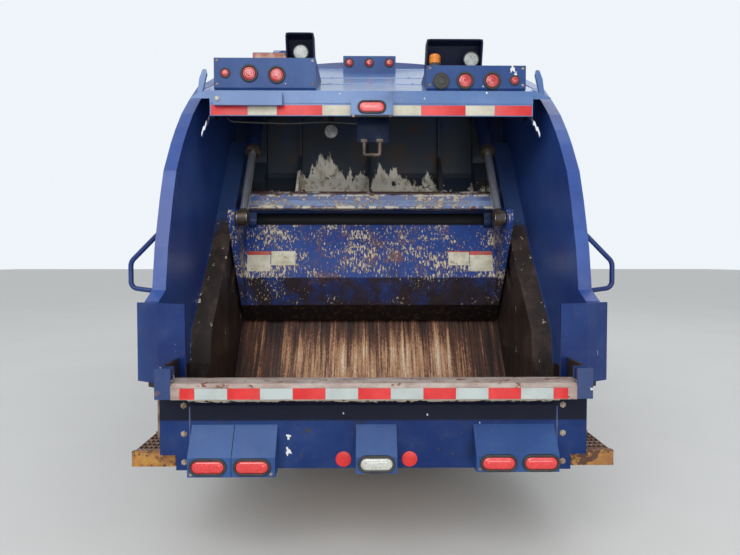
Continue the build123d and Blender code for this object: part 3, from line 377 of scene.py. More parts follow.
for row in (
        ("sill_steel", (0.27, 0.195, 0.17), (0.39, 0.33, 0.29), 7, 0.55, 0.15, 0.3, 90, (1, 2, 2),
         (0.14, 0.055, 0.03), 16, 0.58),
        ("latch_steel", (0.36, 0.30, 0.24), (0.13, 0.065, 0.035), 22, 0.6, 0.3, 0.35, 120, EVEN,
         (0.55, 0.52, 0.44), 30, 0.6),
        ("chrome", (0.70, 0.72, 0.75), (0.50, 0.50, 0.51), 5, 0.25, 0.85, 0.05, 300, (1, 1, 0.2)),
        ("chassis_black", (0.018, 0.018, 0.020), (0.075, 0.066, 0.056), 4, 0.5, 0.0, 0.2, 160, EVEN,
         (0.10, 0.052, 0.03), 11, 0.66),
        ("tyre_rubber", (0.020, 0.020, 0.021), (0.058, 0.053, 0.048), 5, 0.72, 0.0, 0.2, 240),
        ("grommet_rubber", (0.010, 0.010, 0.011), (0.028, 0.027, 0.027), 30, 0.55),
        ("wheel_white", (0.56, 0.56, 0.55), (0.36, 0.345, 0.32), 6, 0.4, 0.0, 0.1, 150, EVEN,
         (0.14, 0.075, 0.045), 18, 0.64),
        ("step_yellow", (0.42, 0.205, 0.035), (0.24, 0.095, 0.030), 12, 0.65, 0.0, 0.4, 110, EVEN,
         (0.085, 0.036, 0.020), 20, 0.50),
        ("grating_steel", (0.30, 0.21, 0.165), (0.16, 0.085, 0.055), 14, 0.7, 0.3, 0.4, 130),
        ("tank_metal", (0.62, 0.63, 0.65), (0.46, 0.46, 0.47), 3, 0.28, 0.9, 0.06, 200, (8, 0.4, 8)),
        ("moulded_black", (0.022, 0.022, 0.023), (0.040, 0.039, 0.038), 8, 0.6, 0.0, 0.35, 420),
        ("tape_red", (0.52, 0.010, 0.011), (0.61, 0.022, 0.020), 9, 0.35, 0.0, 0.3, 330, EVEN,
         (0.30, 0.17, 0.14), 34, 0.68),
        ("tape_white", (0.40, 0.45, 0.44), (0.35, 0.385, 0.37), 7, 0.35, 0.0, 0.3, 330, EVEN,
         (0.35, 0.27, 0.20), 30, 0.66),
        ("tape_aged", (0.50, 0.475, 0.38), (0.40, 0.37, 0.29), 7, 0.45, 0.0, 0.3, 330, EVEN,
         (0.25, 0.17, 0.11), 30, 0.66),
        ("bare_primer", (0.72, 0.73, 0.71), (0.52, 0.50, 0.45), 30, 0.7, 0.0, 0.2),
        ("label_cream", (0.60, 0.57, 0.45), (0.42, 0.38, 0.28), 12, 0.6, 0.0, 0.1, 200, EVEN,
         (0.20, 0.10, 0.055), 18, 0.60),
        ("label_red", (0.50, 0.035, 0.03), (0.36, 0.10, 0.07), 14, 0.6, 0.0, 0.1),
        ("sign_red", (0.34, 0.085, 0.06), (0.50, 0.36, 0.28), 13, 0.65, 0.0, 0.2, 120, EVEN,
         (0.13, 0.06, 0.035), 20, 0.56),
        ("seat_cloth", (0.030, 0.031, 0.036), (0.060, 0.060, 0.066), 30, 0.85, 0.0, 0.5, 900),
        ("grease", (0.030, 0.024, 0.020), (0.115, 0.080, 0.055), 18, 0.45, 0.3, 0.3, 80),
        ("weld_metal", (0.030, 0.060, 0.200), (0.10, 0.10, 0.13), 20, 0.45, 0.0, 0.4, 160),
        ("studio_floor", (0.64, 0.635, 0.62), (0.625, 0.62, 0.605), 0.6, 0.9, 0.0, 0.1, 60)):
    plain_finish(*row)
print("plain finishes ready")

# %% [markdown]
# The floor is a plain pale slab, far larger than the truck, so that its edge lies outside the picture.
# It belongs to the studio and not to the truck.

# %% Floor
floor_mesh = bpy.data.meshes.new("floor")
floor_mesh.from_pydata([(-60, -60, 0), (60, -60, 0), (60, 90, 0), (-60, 90, 0)], [], [(0, 1, 2, 3)])
floor_mesh.materials.append(looks["studio_floor"])
floor = bpy.data.objects.new("floor", floor_mesh)
scene.collection.objects.link(floor)
print("floor laid")

# %% [markdown]
# A lamp's lens is a clear coloured moulding with small ribs inside. Shading it as glass over a bright
# mirror is slow and noisy, so it is a glossy coloured body with a clear coat, and its ribs are real shape.

# %% Lenses and glass
for name, colour, deep in (("lens_red", (0.62, 0.036, 0.040), (0.33, 0.010, 0.013)),
                           ("lens_bright_red", (0.80, 0.050, 0.050), (0.54, 0.014, 0.016)),
                           ("lens_clear", (0.62, 0.63, 0.56), (0.36, 0.37, 0.33)),
                           ("lens_work", (0.46, 0.48, 0.46), (0.17, 0.18, 0.18)),
                           ("lens_amber", (0.88, 0.34, 0.035), (0.58, 0.16, 0.012))):
    finish(name, coat=0.8, coat_roughness=0.05)
    cells = Value(node("ShaderNodeTexVoronoi", {"Vector": where(), "Scale": 190.0})["Distance"])
    feed("Base Color", blend(patch(cells * 0.7 + grain(14, detail=6) * 0.45, 0.25, 0.75), colour, deep))
    Bench.shader.inputs["Roughness"].default_value = 0.12
    relief(cells, 0.3)

for name, settings, scale, first, second, smooth, dull in (
        ("window_glass", {"transmission": 0.92, "ior": 1.45}, 3.0, (0.62, 0.70, 0.69), (0.74, 0.80, 0.79),
         0.0, 0.02),
        ("mirror_face", {"metallic": 1.0}, 12, (0.82, 0.84, 0.85), (0.66, 0.67, 0.67), 0.03, 0.12)):
    finish(name, **settings)
    haze = grain(scale, detail=6)
    feed("Base Color", blend(haze, first, second))
    feed("Roughness", between(haze, smooth, dull))
print("lenses and glass")

# %% [markdown]
# The packer and the tailgate wear more than one finish holds, so further layers go over their enamel.
# The carrier's back plate has a large bleached patch above its beam, the blade is flecked and muddy,
# and the liners inside the hopper have lost their blue.

# %% Layers of wear
CREAM, OLD_CREAM, RUST_RED = (0.64, 0.59, 0.48), (0.42, 0.35, 0.25), (0.16, 0.055, 0.024)
PALE_CREAM, STAINED_CREAM = (0.88, 0.84, 0.72), (0.50, 0.40, 0.27)
BEAM_BLUE, BEAM_PAINTED_LIGHT, SHADE = (0.075, 0.125, 0.30), (0.30, 0.40, 0.64), (0.003, 0.005, 0.012)


def bare_patch():
    """Cream primer with brown stains that run down it."""
    return blend(grain(17, (1, 1, 0.4), 6), CREAM, OLD_CREAM)


def swarm(scale, run, spread, weight):
    """Fine noise plus a slower one that gathers its peaks in swarms."""
    return grain(scale, run, 8, 0.66) * (1 - weight) + grain(spread, (1, 1, 1.5), 4) * weight


# The carrier: black mud in its recess, a ragged bleached patch above the beam, and a knocked beam.
# The patch is high left of the middle and low right of it, and its top is a height plus stretched noise.
enamel("carrier_enamel", (0.012, 0.030, 0.115), (0.018, 0.045, 0.15), 0.20, 0.3, 0.7, 24, (1, 1, 0.8))
lay(zone("Z", 2.06, 3.2, 0.02) * patch(grain(2.2), 0.2, 0.5),
    blend(patch(grain(6, detail=8), 0.5, 0.7), (0.026, 0.036, 0.052), (0.060, 0.036, 0.024)), 0.6)
ragged = grain(3.4, (1.6, 1, 0.32), 10, 0.72)
top = zone("X", -0.60, -0.07, 0.10) * 0.265 + zone("X", 0.02, 0.52, 0.09) * 0.165
reach = axis("Z") + (ragged - 0.5) * 0.85 - top
holes = patch(grain(15, (1, 1, 0.6), 8, 0.7), 0.37, 0.40)
lay(patch(reach, 2.092, 2.085) * holes * zone("Z", 2.06, 2.62, 0.004),
    blend(patch(grain(17, (1, 1, 0.4), 8), 0.48, 0.66), PALE_CREAM, STAINED_CREAM), 0.7)
lay(zone("Z", 2.060, 2.095, 0.008) * patch(grain(9, detail=8), 0.42, 0.46), RUST_RED, 0.8)
face = patch(axis("Y"), -2.90, -2.93)
lay(zone("Z", 1.93, 2.06, 0.004) * face, BEAM_BLUE, 0.35)
# A narrow band of the beam's face is painted lighter: a painted highlight
lay(zone("Z", 1.962, 2.001, 0.002) * face, BEAM_PAINTED_LIGHT, 0.3)
knocks = swarm(34, (1, 1, 1.4), 3.2, 0.42)
beam = zone("Z", 1.93, 2.06, 0.004)
lay(beam * patch(knocks, 0.512, 0.524), RUST_RED, 0.8)
lay(beam * patch(knocks, 0.532, 0.544), bare_patch(), 0.7)
for low, high, least in ((2.036, 2.056, 0.49), (1.935, 1.957, 0.485)):
    lay(zone("Z", low, high, 0.004) * patch(grain(15, detail=8), least, least + 0.02),
        blend(patch(grain(11, detail=6), 0.5, 0.58), CREAM, RUST_RED), 0.7)

# The blade: each facet has its own share of flecks with rusty rims, the lowest a brown film, and the tip mud
# with painted shade
FACETS = ((1.42, 1.622, 0.546), (1.62, 1.90, 0.548), (1.20, 1.42, 0.590))
enamel("packer_enamel", (0.014, 0.045, 0.20), (0.020, 0.060, 0.24), 0.18, 0.25, 0.35, 30, (1.35, 1, 0.55),
       gloss=0.5, sheen=0.12)
scratches = swarm(60, (1.5, 1, 0.42), 3.4, 0.36)
for low, high, least in FACETS:
    lay(zone("Z", low, high, 0.002) * patch(scratches, least - 0.022, least - 0.012),
        blend(grain(30), RUST_RED, (0.05, 0.028, 0.02)), 0.8)
stains = patch(grain(5, (1.4, 1, 0.8), 9, 0.75), 0.50, 0.66) * 0.8
lay(zone("Z", 1.38, 1.90, 0.02) * zone("X", -0.1, 0.62, 0.15, True) * stains, (0.17, 0.075, 0.042), 0.7)
lay(zone("Z", 1.0, 1.42) * patch(grain(5.5, (1.2, 1, 0.8), 10, 0.75), 0.30, 0.58),
    blend(grain(15, detail=8), (0.010, 0.012, 0.026), (0.056, 0.034, 0.026)), 0.6)
for low, high, least in FACETS:
    lay(zone("Z", low, high, 0.002) * patch(scratches, least, least + 0.010), bare_patch(), 0.7)
# Mud and painted shade on the recessed lip below the lowest facet
lay(zone("Z", 1.0, 1.207, 0.006),
    blend(patch(grain(24, detail=7), 0.5, 0.7), (0.010, 0.008, 0.008), (0.050, 0.026, 0.016)), 0.6)
# Painted shade within 74 mm of the hinge line, for the dark gap between beam and blade: the distance is the
# root of two squares
back, up = axis("Y") - ahead(1.8), axis("Z") - 1.85
lay(patch(work("SQRT", back * back + up * up), 0.078, 0.070) * zone("X", -0.1, 0.935, 0.01, True),
    (0.006, 0.006, 0.008), 0.7)

# The tailgate's sides: brown worn liners inside the hopper, and above them a darker blue that is painted
# shade
paint_on(looks["blue_enamel_sides"])
inside = zone("X", -0.1, 1.142, 0.002, True)
lay(inside, blend(grain(3.5, detail=8), (0.017, 0.038, 0.125), (0.034, 0.068, 0.185)), 0.5)
lay(inside * patch(axis("Z") + grain(3, detail=6) * 0.35, 2.03, 1.95),
    blend(patch(grain(7, (1, 1, 0.5), 9, 0.7), 0.45, 0.7), (0.024, 0.015, 0.012), (0.075, 0.048, 0.034)), 0.6)
lay(zone("X", 1.012, 1.142, 0.002, True) * zone("Z", 0.8, 1.9, 0.05)
    * patch(grain(26, (1, 1, 0.25), 8), 0.655, 0.67), bare_patch(), 0.7)
# Dark wet dirt and painted shade under the sill, and bare paint torn along the tape: a height plus noise
# makes its edge
paint_on(looks["blue_enamel_panel"])
lay(zone("Z", 0.765, 0.93, 0.006) * patch(grain(5, detail=7), 0.1, 0.35),
    blend(grain(4, (1, 1, 0.5), 8), (0.003, 0.005, 0.014), (0.012, 0.014, 0.028)), 0.55)
lay(zone("Z", 0.86, 0.95, 0.002) * patch(axis("Z") + grain(22, (1, 1, 0.5), 9, 0.7) * 0.09, 0.920, 0.922),
    bare_patch(), 0.7)
# The hanger behind the lip lies in shade, and so do the faces of the lamp hoods
paint_on(looks["blue_enamel_lit_roof"])
for high, front, soft in ((2.452, -4.0, 0.01), (2.60, ahead(1.002), 0.002)):
    lay(zone("Z", 2.0, high, 0.004) * zone("Y", front, 3.0, soft), SHADE, 0.75)
paint_on(looks["blue_enamel_boxes"])
hoods = larger(zone("Z", 2.822, 3.1, 0.004), zone("Z", 2.778, 3.1, 0.004) * zone("X", 0.30, 1.2))
lay(hoods * zone("Y", ahead(0.90), ahead(1.17), 0.004), (0.007, 0.012, 0.034), 0.6)
print("worn layers on", len(looks), "finishes")

# %% [markdown]
# Every CAD solid now takes its finish. The solid's mesh stays as it is: only its material slot changes.

# %% Dress the CAD solids
DRESS = {
    "blue_enamel": "lift_barrels body_shell front_bumper cab_shell cab_skirt door_left door_right",
    "blue_enamel_sides": "tailgate_sides", "blue_enamel_panel": "lower_panel",
    "blue_enamel_low": "throat_panel sweep_barrels", "blue_enamel_boxes": "lamp_boxes light_boxes",
    "blue_enamel_lit_roof": "tailgate_roof", "blue_enamel_knocked": "corner_guards grab_handles",
    "blue_enamel_latches": "trunnion_latches", "carrier_enamel": "carrier", "packer_enamel": "blade",
    "hopper_steel": "hopper", "liner_steel": "hopper_cheeks ejector_panel", "sill_steel": "sill",
    "step_yellow": "riding_steps", "chrome": "sweep_rods lift_rods", "tank_metal": "fuel_tank exhaust_stack",
    "chassis_black": "frame_rails axles engine side_boxes cab_steps knuckle_left knuckle_right",
    "moulded_black": "mudguards air_cleaner cab_interior mirrors", "seat_cloth": "seats",
    "lens_red": "red_lamps", "lens_clear": "clear_lamps head_lamps", "lens_amber": "amber_beacon",
    "window_glass": "cab_glass door_glass_left door_glass_right",
}
look_of = {solid: look for look, group in DRESS.items() for solid in group.split()}
for name, solid in nodes.items():
    wheel_part = "tyre_rubber" if name.startswith("tyre") else "wheel_white"
    solid.data.materials.clear()
    solid.data.materials.append(looks[look_of.get(name, wheel_part)])
print("dressed", len(nodes), "solids")

# %% [markdown]
# Each new piece is woven from grids of points, and each grid is worked out as one array. A pole or a
# closed end is a ring shrunk to one point, which the weld then closes, so that every piece is one closed
# skin.

# %% From grids to pieces
WELD = 2e-5


def weave(grid):
    """Faces over a grid of points (rows, columns, 3): each joins rows i, i+1 and columns j, j+1, and the
    last column meets the first."""
    rows, columns = grid.shape[:2]
    index = np.arange(rows * columns).reshape(rows, columns)
    right = np.roll(index, -1, axis=1)
    quads = np.stack([index[:-1], right[:-1], right[1:], index[1:]], axis=-1).reshape(-1, 4)
    return grid.reshape(-1, 3), quads


def make(name, sheets, look, body="tailgate", replaces=None, sharp=40):
    """One piece from woven sheets: points that meet are welded, faces turn outward, edges stay crisp."""
    starts = np.cumsum([0] + [len(points) for points, quads in sheets])
    points = np.concatenate([points for points, quads in sheets])
    faces = np.concatenate([quads + start for (_, quads), start in zip(sheets, starts)])
    mesh = bpy.data.meshes.new(name)
    mesh.from_pydata(points.tolist(), [], faces.tolist())
    form = bmesh.new()
    form.from_mesh(mesh)
    bmesh.ops.remove_doubles(form, verts=form.verts, dist=WELD)
    bmesh.ops.recalc_face_normals(form, faces=form.faces)
    form.to_mesh(mesh)
    form.free()
    mesh.polygons.foreach_set("use_smooth", np.ones(len(mesh.polygons), dtype=bool))
    mesh.set_sharp_from_angle(angle=math.radians(sharp))
    mesh.materials.append(looks[look])
    piece = bpy.data.objects.new(name, mesh)
    scene.collection.objects.link(piece)
    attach(piece, body)
    if replaces:
        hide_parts(replaces)
    return piece


print("points closer than", WELD, "m are welded")

# %% [markdown]
# Many small parts of a truck are turned on a lathe, or run along the machine with one section. So one
# function turns a half section about an axis, which makes lenses, bolts and hubs, and one carries a
# section along a path, which makes hoses, handles and seals. Most of them are round, so a circle
# is the section they share.

# %% Turned and carried forms
def three_axes(direction):
    """An axis and two directions square to it and to each other."""
    a = np.asarray(direction, float) / np.linalg.norm(direction)
    u = np.cross(UP if abs(a[2]) < 0.9 else RIGHT, a)
    u /= np.linalg.norm(u)
    return a, u, np.cross(a, u)


def turn(profile, centre, direction, steps=32, spread=0.0):
    """Half section turned about an axis: P = centre + h a + r (cos q u + sin q v), for (h, r) of the
    profile. Spread pulls the two halves apart along u, which makes a round lens a long one."""
    a, u, v = three_axes(direction)
    h, r = np.asarray(profile, float).T[:, :, None]
    half = np.linspace(-math.pi / 2, math.pi / 2, steps // 2 + 1)
    q = np.concatenate([half, half + math.pi])
    apart = spread * np.repeat([1, -1], len(half)) * (r > 1e-9)
    return weave(np.asarray(centre, float) + h[..., None] * a + (r * np.cos(q) + apart)[..., None] * u
                 + (r * np.sin(q))[..., None] * v)


def carry(section, path, reference=FORWARD, closed=False):
    """A closed section (x, y) carried along a path: P = path + x s + y n, with s square to the path and to
    the reference. Both ends shrink to the path's ends, unless the path is closed."""
    along = np.roll(path, -1, axis=0) - np.roll(path, 1, axis=0) if closed else np.gradient(path, axis=0)
    along /= np.linalg.norm(along, axis=1, keepdims=True)
    s = np.cross(along, np.asarray(reference, float))
    s /= np.linalg.norm(s, axis=1, keepdims=True)
    n = np.cross(s, along)
    section = np.asarray(section, float)
    grid = path[:, None] + section[None, :, :1] * s[:, None] + section[None, :, 1:] * n[:, None]
    if closed:
        return weave(np.concatenate([grid, grid[:1]]))
    ends = np.repeat(path[[0, -1], None], len(section), axis=1)
    return weave(np.concatenate([ends[:1], grid, ends[1:]]))


def ring(radius, steps=10):
    """A circle of points, as a section to carry."""
    q = np.arange(steps) * 2 * math.pi / steps
    return np.stack([radius * np.cos(q), radius * np.sin(q)], axis=1)


print("a circle to carry has", len(ring(1.0)), "points")

# %% [markdown]
# Hoses, handles and seals go through places that are told one by one. Straight lines alone would kink,
# and one smooth curve through all the places would swing wide, so the way stays straight and only its
# corners are softened, as a tube bender leaves them.

# %% Soft paths and rods
# A bend takes at most this share of the way to the next corner
LONGEST_BEND = 0.45


def path_of(*points):
    """A path from places (x, t, z)."""
    return np.array([at(*point) for point in points], float)


def curve(corners, radius, steps=6):
    """A path through corners, each corner replaced by a soft bend, a quadratic that starts and stops at
    the radius from it: (1-t)^2 start + 2 t (1-t) corner + t^2 stop."""
    here = corners[1:-1]
    start, stop = (here + way * np.minimum(radius / np.linalg.norm(way, axis=1, keepdims=True), LONGEST_BEND)
                   for way in (corners[:-2] - here, corners[2:] - here))
    t = np.linspace(0, 1, steps)[:, None]
    bends = (1 - t) ** 2 * start[:, None] + 2 * t * (1 - t) * here[:, None] + t ** 2 * stop[:, None]
    return np.concatenate([corners[:1], bends.reshape(-1, 3), corners[-1:]])


def closed_curve(corners, radius, steps=6):
    """A closed path through corners with soft bends: the first corner is met again at the end."""
    return curve(np.concatenate([corners[-1:], corners, corners[:1]]), radius, steps)[1:-1]


def rod(radius, corners, soft, steps=6, sides=10, reference=FORWARD):
    """A round rod bent through places (x, t, z): a circle carried along their soft curve."""
    return carry(ring(radius, sides), curve(path_of(*corners), soft, steps), reference)


print("a bend takes up to", LONGEST_BEND, "of the way to the next corner")

# %% [markdown]
# Plates, tapes and blocks are bars. A perfectly sharp edge catches no light, so a bar's edges are rounded,
# along its sides and at both ends. A bar can also be leaned onto a sloping face.

# %% Bars and leaned forms
# How far in a rounding is at its middle, as a share of its radius: 1 less the cosine of 45 degrees
MIDWAY = 0.29


def bar(x, t, z, round_off=0.002, steps=3):
    """A rounded bar between two places on each axis: rounded rectangles stacked along its longest side,
    the first and last drawn in by the rounding and then shrunk to the end's middle."""
    low, high = np.sort([at(x[0], t[0], z[0]), at(x[1], t[1], z[1])], axis=0)
    size = high - low
    main = int(np.argmax(size))
    first, second = [i for i in range(3) if i != main]
    r = min(round_off, 0.49 * size.min())
    q = np.linspace(0, math.pi / 2, steps)
    corner = np.concatenate([q + k * math.pi / 2 for k in range(4)])
    sx = np.repeat([1, -1, -1, 1], steps)
    sy = np.repeat([1, 1, -1, -1], steps)
    half = size / 2
    inset = np.array([r, MIDWAY * r, 0, 0, MIDWAY * r, r])
    level = np.array([0, MIDWAY * r, r, size[main] - r, size[main] - MIDWAY * r, size[main]])
    grid = np.zeros((8, len(corner), 3))
    grid[1:-1, :, first] = sx * (half[first] - r) + np.cos(corner) * (r - inset)[:, None]
    grid[1:-1, :, second] = sy * (half[second] - r) + np.sin(corner) * (r - inset)[:, None]
    grid[1:-1, :, main] = (level - half[main])[:, None]
    grid[0, :, main], grid[-1, :, main] = -half[main], half[main]
    return weave(grid + (low + high) / 2)


def leaned(points, angle, centre=(0, 0, 0)):
    """Points turned about a line along X through a centre: y cos - z sin and y sin + z cos."""
    x, y, z = np.moveaxis(points - np.asarray(centre, float), -1, 0)
    c, s = math.cos(angle), math.sin(angle)
    return np.stack([x, y * c - z * s, y * s + z * c], axis=-1) + centre


print("bars have", len(bar((0, 1), (0, 1), (0, 1))[0]), "points")

# %% [markdown]
# Marker tape is 50 mm wide and comes in red and white lengths. It is thin, so each length is a flat bar
# with soft edges, laid on the sill's rear face and on the lip's strip. Its lengths are those of the real
# one: six inches each along the sill, and cut to fit between the lamps along the lip.

# %% Marker tape
SIX_INCHES = 0.1524
SILL_TAPE, LIP_TAPE = (0.901, 0.953), (2.457, 2.519)
TAPE_GAP, TAPE_THICKNESS = 0.0006, 0.0012


def tape_run(name, edges, colours, t, levels):
    """Lengths of tape between neighbouring edges along X, told by the first letters of their colours."""
    for colour in ("red", "white", "aged"):
        lengths = [bar((a + TAPE_GAP, b - TAPE_GAP), (t, t + TAPE_THICKNESS), levels, 0.0005, 2)
                   for a, b, letter in zip(edges, edges[1:], colours) if letter == colour[0]]
        if lengths:
            make(f"{name}_{colour}", lengths, f"tape_{colour}")


sill_edges = [-0.908] + [round(-0.8382 + SIX_INCHES * k, 4) for k in range(12)] + [0.908]
tape_run("sill_tape", sill_edges, "rwrwrwrwrwrwr", 0.0002, SILL_TAPE)
tape_run("lip_tape_left", [-1.006, -0.777, -0.594, -0.310, -0.132], "rara", 0.9388, LIP_TAPE)
tape_run("lip_tape_right", [0.132, 0.310, 0.588, 0.772, 1.006], "arar", 0.9388, LIP_TAPE)
print("tape laid along", len(sill_edges) - 1, "lengths of the sill")

# %% [markdown]
# A truck's round lamp is a domed lens in a thick rubber grommet, pushed through a hole in its box. The
# lens has rings moulded in it, which catch the light, so its half section is a wavy dome. The long lamps
# are the same section with the two halves pulled apart.

# %% Lamps
# How far ahead of the sill each face with lamps or marks lies
BOX_FACE, PANEL_FACE, LAMP_BOX_FACE, LIP_FACE, LIP_PAINT, ROOF_FACE = 0.950, 0.130, 0.045, 0.905, 0.936, 1.860


def dome(radius, proud, waves=4, depth=0.0012):
    """Half section (h, r) of a domed lens, rim to top: a quarter ellipse with fine rings on it."""
    q = np.linspace(0, math.pi / 2, 26)
    r = radius * np.cos(q)
    h = proud * np.sin(q) + depth * np.sin(q * waves * 4) * np.cos(q) * np.sin(q)
    return np.stack([np.append(-0.004, h), np.append(radius, r * (r > 1e-6))], axis=1)


def grommet(radius, width, proud):
    """Half section (h, r) of a rubber ring: out of the box face, over a round lip and down onto the lens."""
    q = np.linspace(math.pi, 0, 9)
    h = proud + 0.35 * width * np.sin(q) - 0.002
    r = radius + width / 2 - width / 2 * np.cos(math.pi - q)
    return np.stack([np.concatenate([[-0.003], h, [-0.003]]),
                     np.concatenate([[radius - 0.001], r, [radius + width]])], axis=1)


# Each kind of lamp: its lens, its grommet, the steps round, and how far a long lamp's halves lie apart
LAMPS = {
    "four inch": (dome(0.042, 0.012), grommet(0.041, 0.015, 0.006), 40, 0.0),
    "two inch": (dome(0.024, 0.012, 2), grommet(0.023, 0.010, 0.004), 28, 0.0),
    "roof": (dome(0.028, 0.016, 2), grommet(0.027, 0.011, 0.004), 28, 0.0),
    "long": (dome(0.030, 0.010), grommet(0.029, 0.013, 0.006), 40, 0.048),
    "head": (dome(0.054, 0.006, 7, 0.0009), grommet(0.053, 0.009, 0.002), 48, 0.0),
    "cab": (dome(0.021, 0.020, 3), grommet(0.021, 0.010, 0.002), 28, 0.0),
    "side": (dome(0.022, 0.012, 2), grommet(0.021, 0.010, 0.003), 28, 0.0),
}


def lamps(kind, direction, *spots):
    """The lenses and the grommets of one kind of lamp at some places, as two lists."""
    lens, collar, steps, spread = LAMPS[kind]
    return ([turn(form, at(*spot), direction, steps, spread) for spot in spots] for form in (lens, collar))


rows = [lamps(kind, REARWARD, *[(x, t, z) for x, z in spots]) for kind, t, spots in (
    ("four inch", BOX_FACE, ((-0.767, 2.718), (-0.595, 2.709), (0.587, 2.677), (0.757, 2.677))),
    ("two inch", BOX_FACE, ((-0.917, 2.720), (0.898, 2.680))),
    ("roof", ROOF_FACE, ((-0.166, 3.104), (-0.008, 3.104), (0.150, 3.104))),
    ("long", LAMP_BOX_FACE, ((-0.792, 0.566), (-0.582, 0.566), (0.595, 0.581), (0.798, 0.581))),
    ("long", LIP_FACE, ((0, 2.500),)), ("long", LAMP_BOX_FACE, ((0.011, 0.578),)))]
lenses, rubbers = zip(*rows)
make("upper_red_lamps", sum(lenses[:3], []), "lens_red", replaces="red_lamps")
make("oval_red_lamps", sum(lenses[3:5], []), "lens_bright_red", replaces="red_lamps")
make("reversing_lamp", lenses[5], "lens_clear")
make("lamp_grommets", sum(rubbers, []), "grommet_rubber")
flat = [(-0.002, 0.0), (-0.002, 0.037), (0.004, 0.038), (0.0055, 0.034), (0.0055, 0.006), (0.0075, 0.005),
        (0.0075, 0)]
make("reflectors", [turn(flat, at(x, PANEL_FACE, 0.574), REARWARD) for x in (-0.150, 0.175)], "tape_red",
     replaces="red_lamps")

# Work lamps: a round can with a clear face, and a small one on the left box
can = [(-0.040, 0.0), (-0.040, 0.020), (-0.030, 0.036), (-0.004, 0.050), (0.004, 0.051), (0.006, 0.047),
       (0.0, 0.045), (-0.001, 0.0)]
spots = [at(*spot) for spot in ((-0.451, 1.010, 2.872), (0.635, 1.010, 2.830), (-0.280, 1.360, 2.453))]
clear = [turn(dome(0.0455, 0.006, 5), spot, REARWARD, 36) for spot in spots]
clear.append(turn(dome(0.019, 0.008, 2), at(-0.956, 0.900, 2.547), REARWARD, 24))
make("work_lamps", clear, "lens_work", replaces="clear_lamps")
make("work_lamp_cans", [turn(can, spot, REARWARD, 36) for spot in spots], "moulded_black")

# Beacon: a black foot and a ribbed amber dome
q = np.linspace(0, math.pi / 2, 14)
wall = np.stack([np.linspace(0.026, 0.070, 30), 0.037 + 0.0012 * np.cos(np.linspace(0, 40, 30))], axis=1)
cap = np.stack([0.070 + 0.021 * np.sin(q), 0.037 * np.cos(q) * (np.cos(q) > 1e-6)], axis=1)
base = at(0.401, 1.005, 2.772)
make("beacon_dome", [turn(np.concatenate([[(0.02, 0)], wall, cap]), base, UP, 36)], "lens_amber",
     replaces="amber_beacon")
foot = [(-0.001, 0), (-0.001, 0.041), (0.006, 0.042), (0.012, 0.039), (0.022, 0.039), (0.025, 0.036),
        (0.025, 0)]
make("beacon_foot", [turn(foot, base, UP, 36)], "moulded_black")
alarm = [(-0.002, 0), (-0.002, 0.052), (0.010, 0.052), (0.014, 0.046), (0.010, 0.040), (0.012, 0.030),
         (0.008, 0.026), (0.011, 0.018), (0.008, 0.012), (0.010, 0)]
make("reversing_alarm", [turn(alarm, at(0.435, BOX_FACE, 2.673), REARWARD, 36)], "moulded_black")
print("lamps, reflectors, work lamps, beacon and alarm")

# %% [markdown]
# Blank plates sit on the blade's upper facet: cream with a red band along the top, scratched by refuse.
# The facet leans, so a plate is a thin bar made upright and turned about the facet's upper edge.

# %% Blank plates
LEAN = math.atan2(0.050, 0.202)
FACET_T, FACET_TOP, PLATE_TOP = 1.650, 1.622, 1.618


def plate(x, z, proud):
    """A thin upright bar at the facet's top edge, leaned onto the facet."""
    points, quads = bar(x, (FACET_T - proud, FACET_T + 0.001), z, 0.0008, 2)
    return leaned(points, -LEAN, at(0, FACET_T, FACET_TOP)), quads


PLATES = ((-0.930, -0.755, 1.462, 1.588), (-0.750, -0.567, 1.508, PLATE_TOP), (0.589, 0.747, 1.508, 1.610),
          (0.752, 0.924, 1.462, 1.588))
make("blade_plates", [plate((a, b), (low, high), 0.0015) for a, b, low, high in PLATES], "label_cream",
     "blade")
make("blade_plate_bands", [plate((a, b), (high, PLATE_TOP), 0.0018) for a, b, low, high in PLATES
                           if high < PLATE_TOP], "label_red", "blade")
make("sign_plate", [bar((-0.786, -0.552), (1.1775, 1.1808), (2.828, 2.929), 0.0015)], "sign_red")
print("blank plates")

# %% [markdown]
# A loader stands on an open step of flat bars on edge, welded between two side bars, with round rods
# across. Mud falls through it. The rear edge is a channel painted yellow and knocked bare by bins.

# %% Riding steps
bars, edges = [], []
for hand in HANDS:
    inner, outer = hand * 1.000, hand * 1.2215
    bars += [bar((hand * (x - 0.0025), hand * (x + 0.0025)), (0.224, 0.550), (0.548, 0.583), 0.0012)
             for x in np.linspace(1.012, 1.210, 9)]
    bars += [turn([(-0.102, 0), (-0.102, 0.0045), (0.102, 0.0045), (0.102, 0)], at(hand * 1.111, t, 0.578),
                  RIGHT, 10) for t in np.linspace(0.262, 0.512, 6)]
    bars += [bar((inner, hand * 1.222), t, (0.545, 0.585)) for t in ((0.222, 0.228), (0.544, 0.552))]
    bars += [bar((hand * 1.146, hand * 1.166), (t, t + 0.030), (0.560, top))
             for t, top in ((0.420, 0.899), (0.510, 0.872))]
    edges += [bar((inner, outer), (0.212, 0.222), (0.507, 0.584), 0.003),
              bar((inner, outer), (0.212, 0.240), (0.578, 0.5845))]
make("step_grating", bars, "grating_steel", replaces="riding_steps")
make("step_edges", edges, "step_yellow", replaces="riding_steps")
print("riding steps with", len(bars), "bars")

# %% [markdown]
# A lorry tyre is a solid of turning except for its tread. The half section gives the sidewall with its
# moulded rings, and across the tread four grooves run round in a zigzag: the section's points shift
# sideways with the angle, so the grid follows the groove. Slots cut the shoulders into blocks.

# %% Tyres
RADIUS, WIDTH, STEPS = 0.520, 0.285, 216
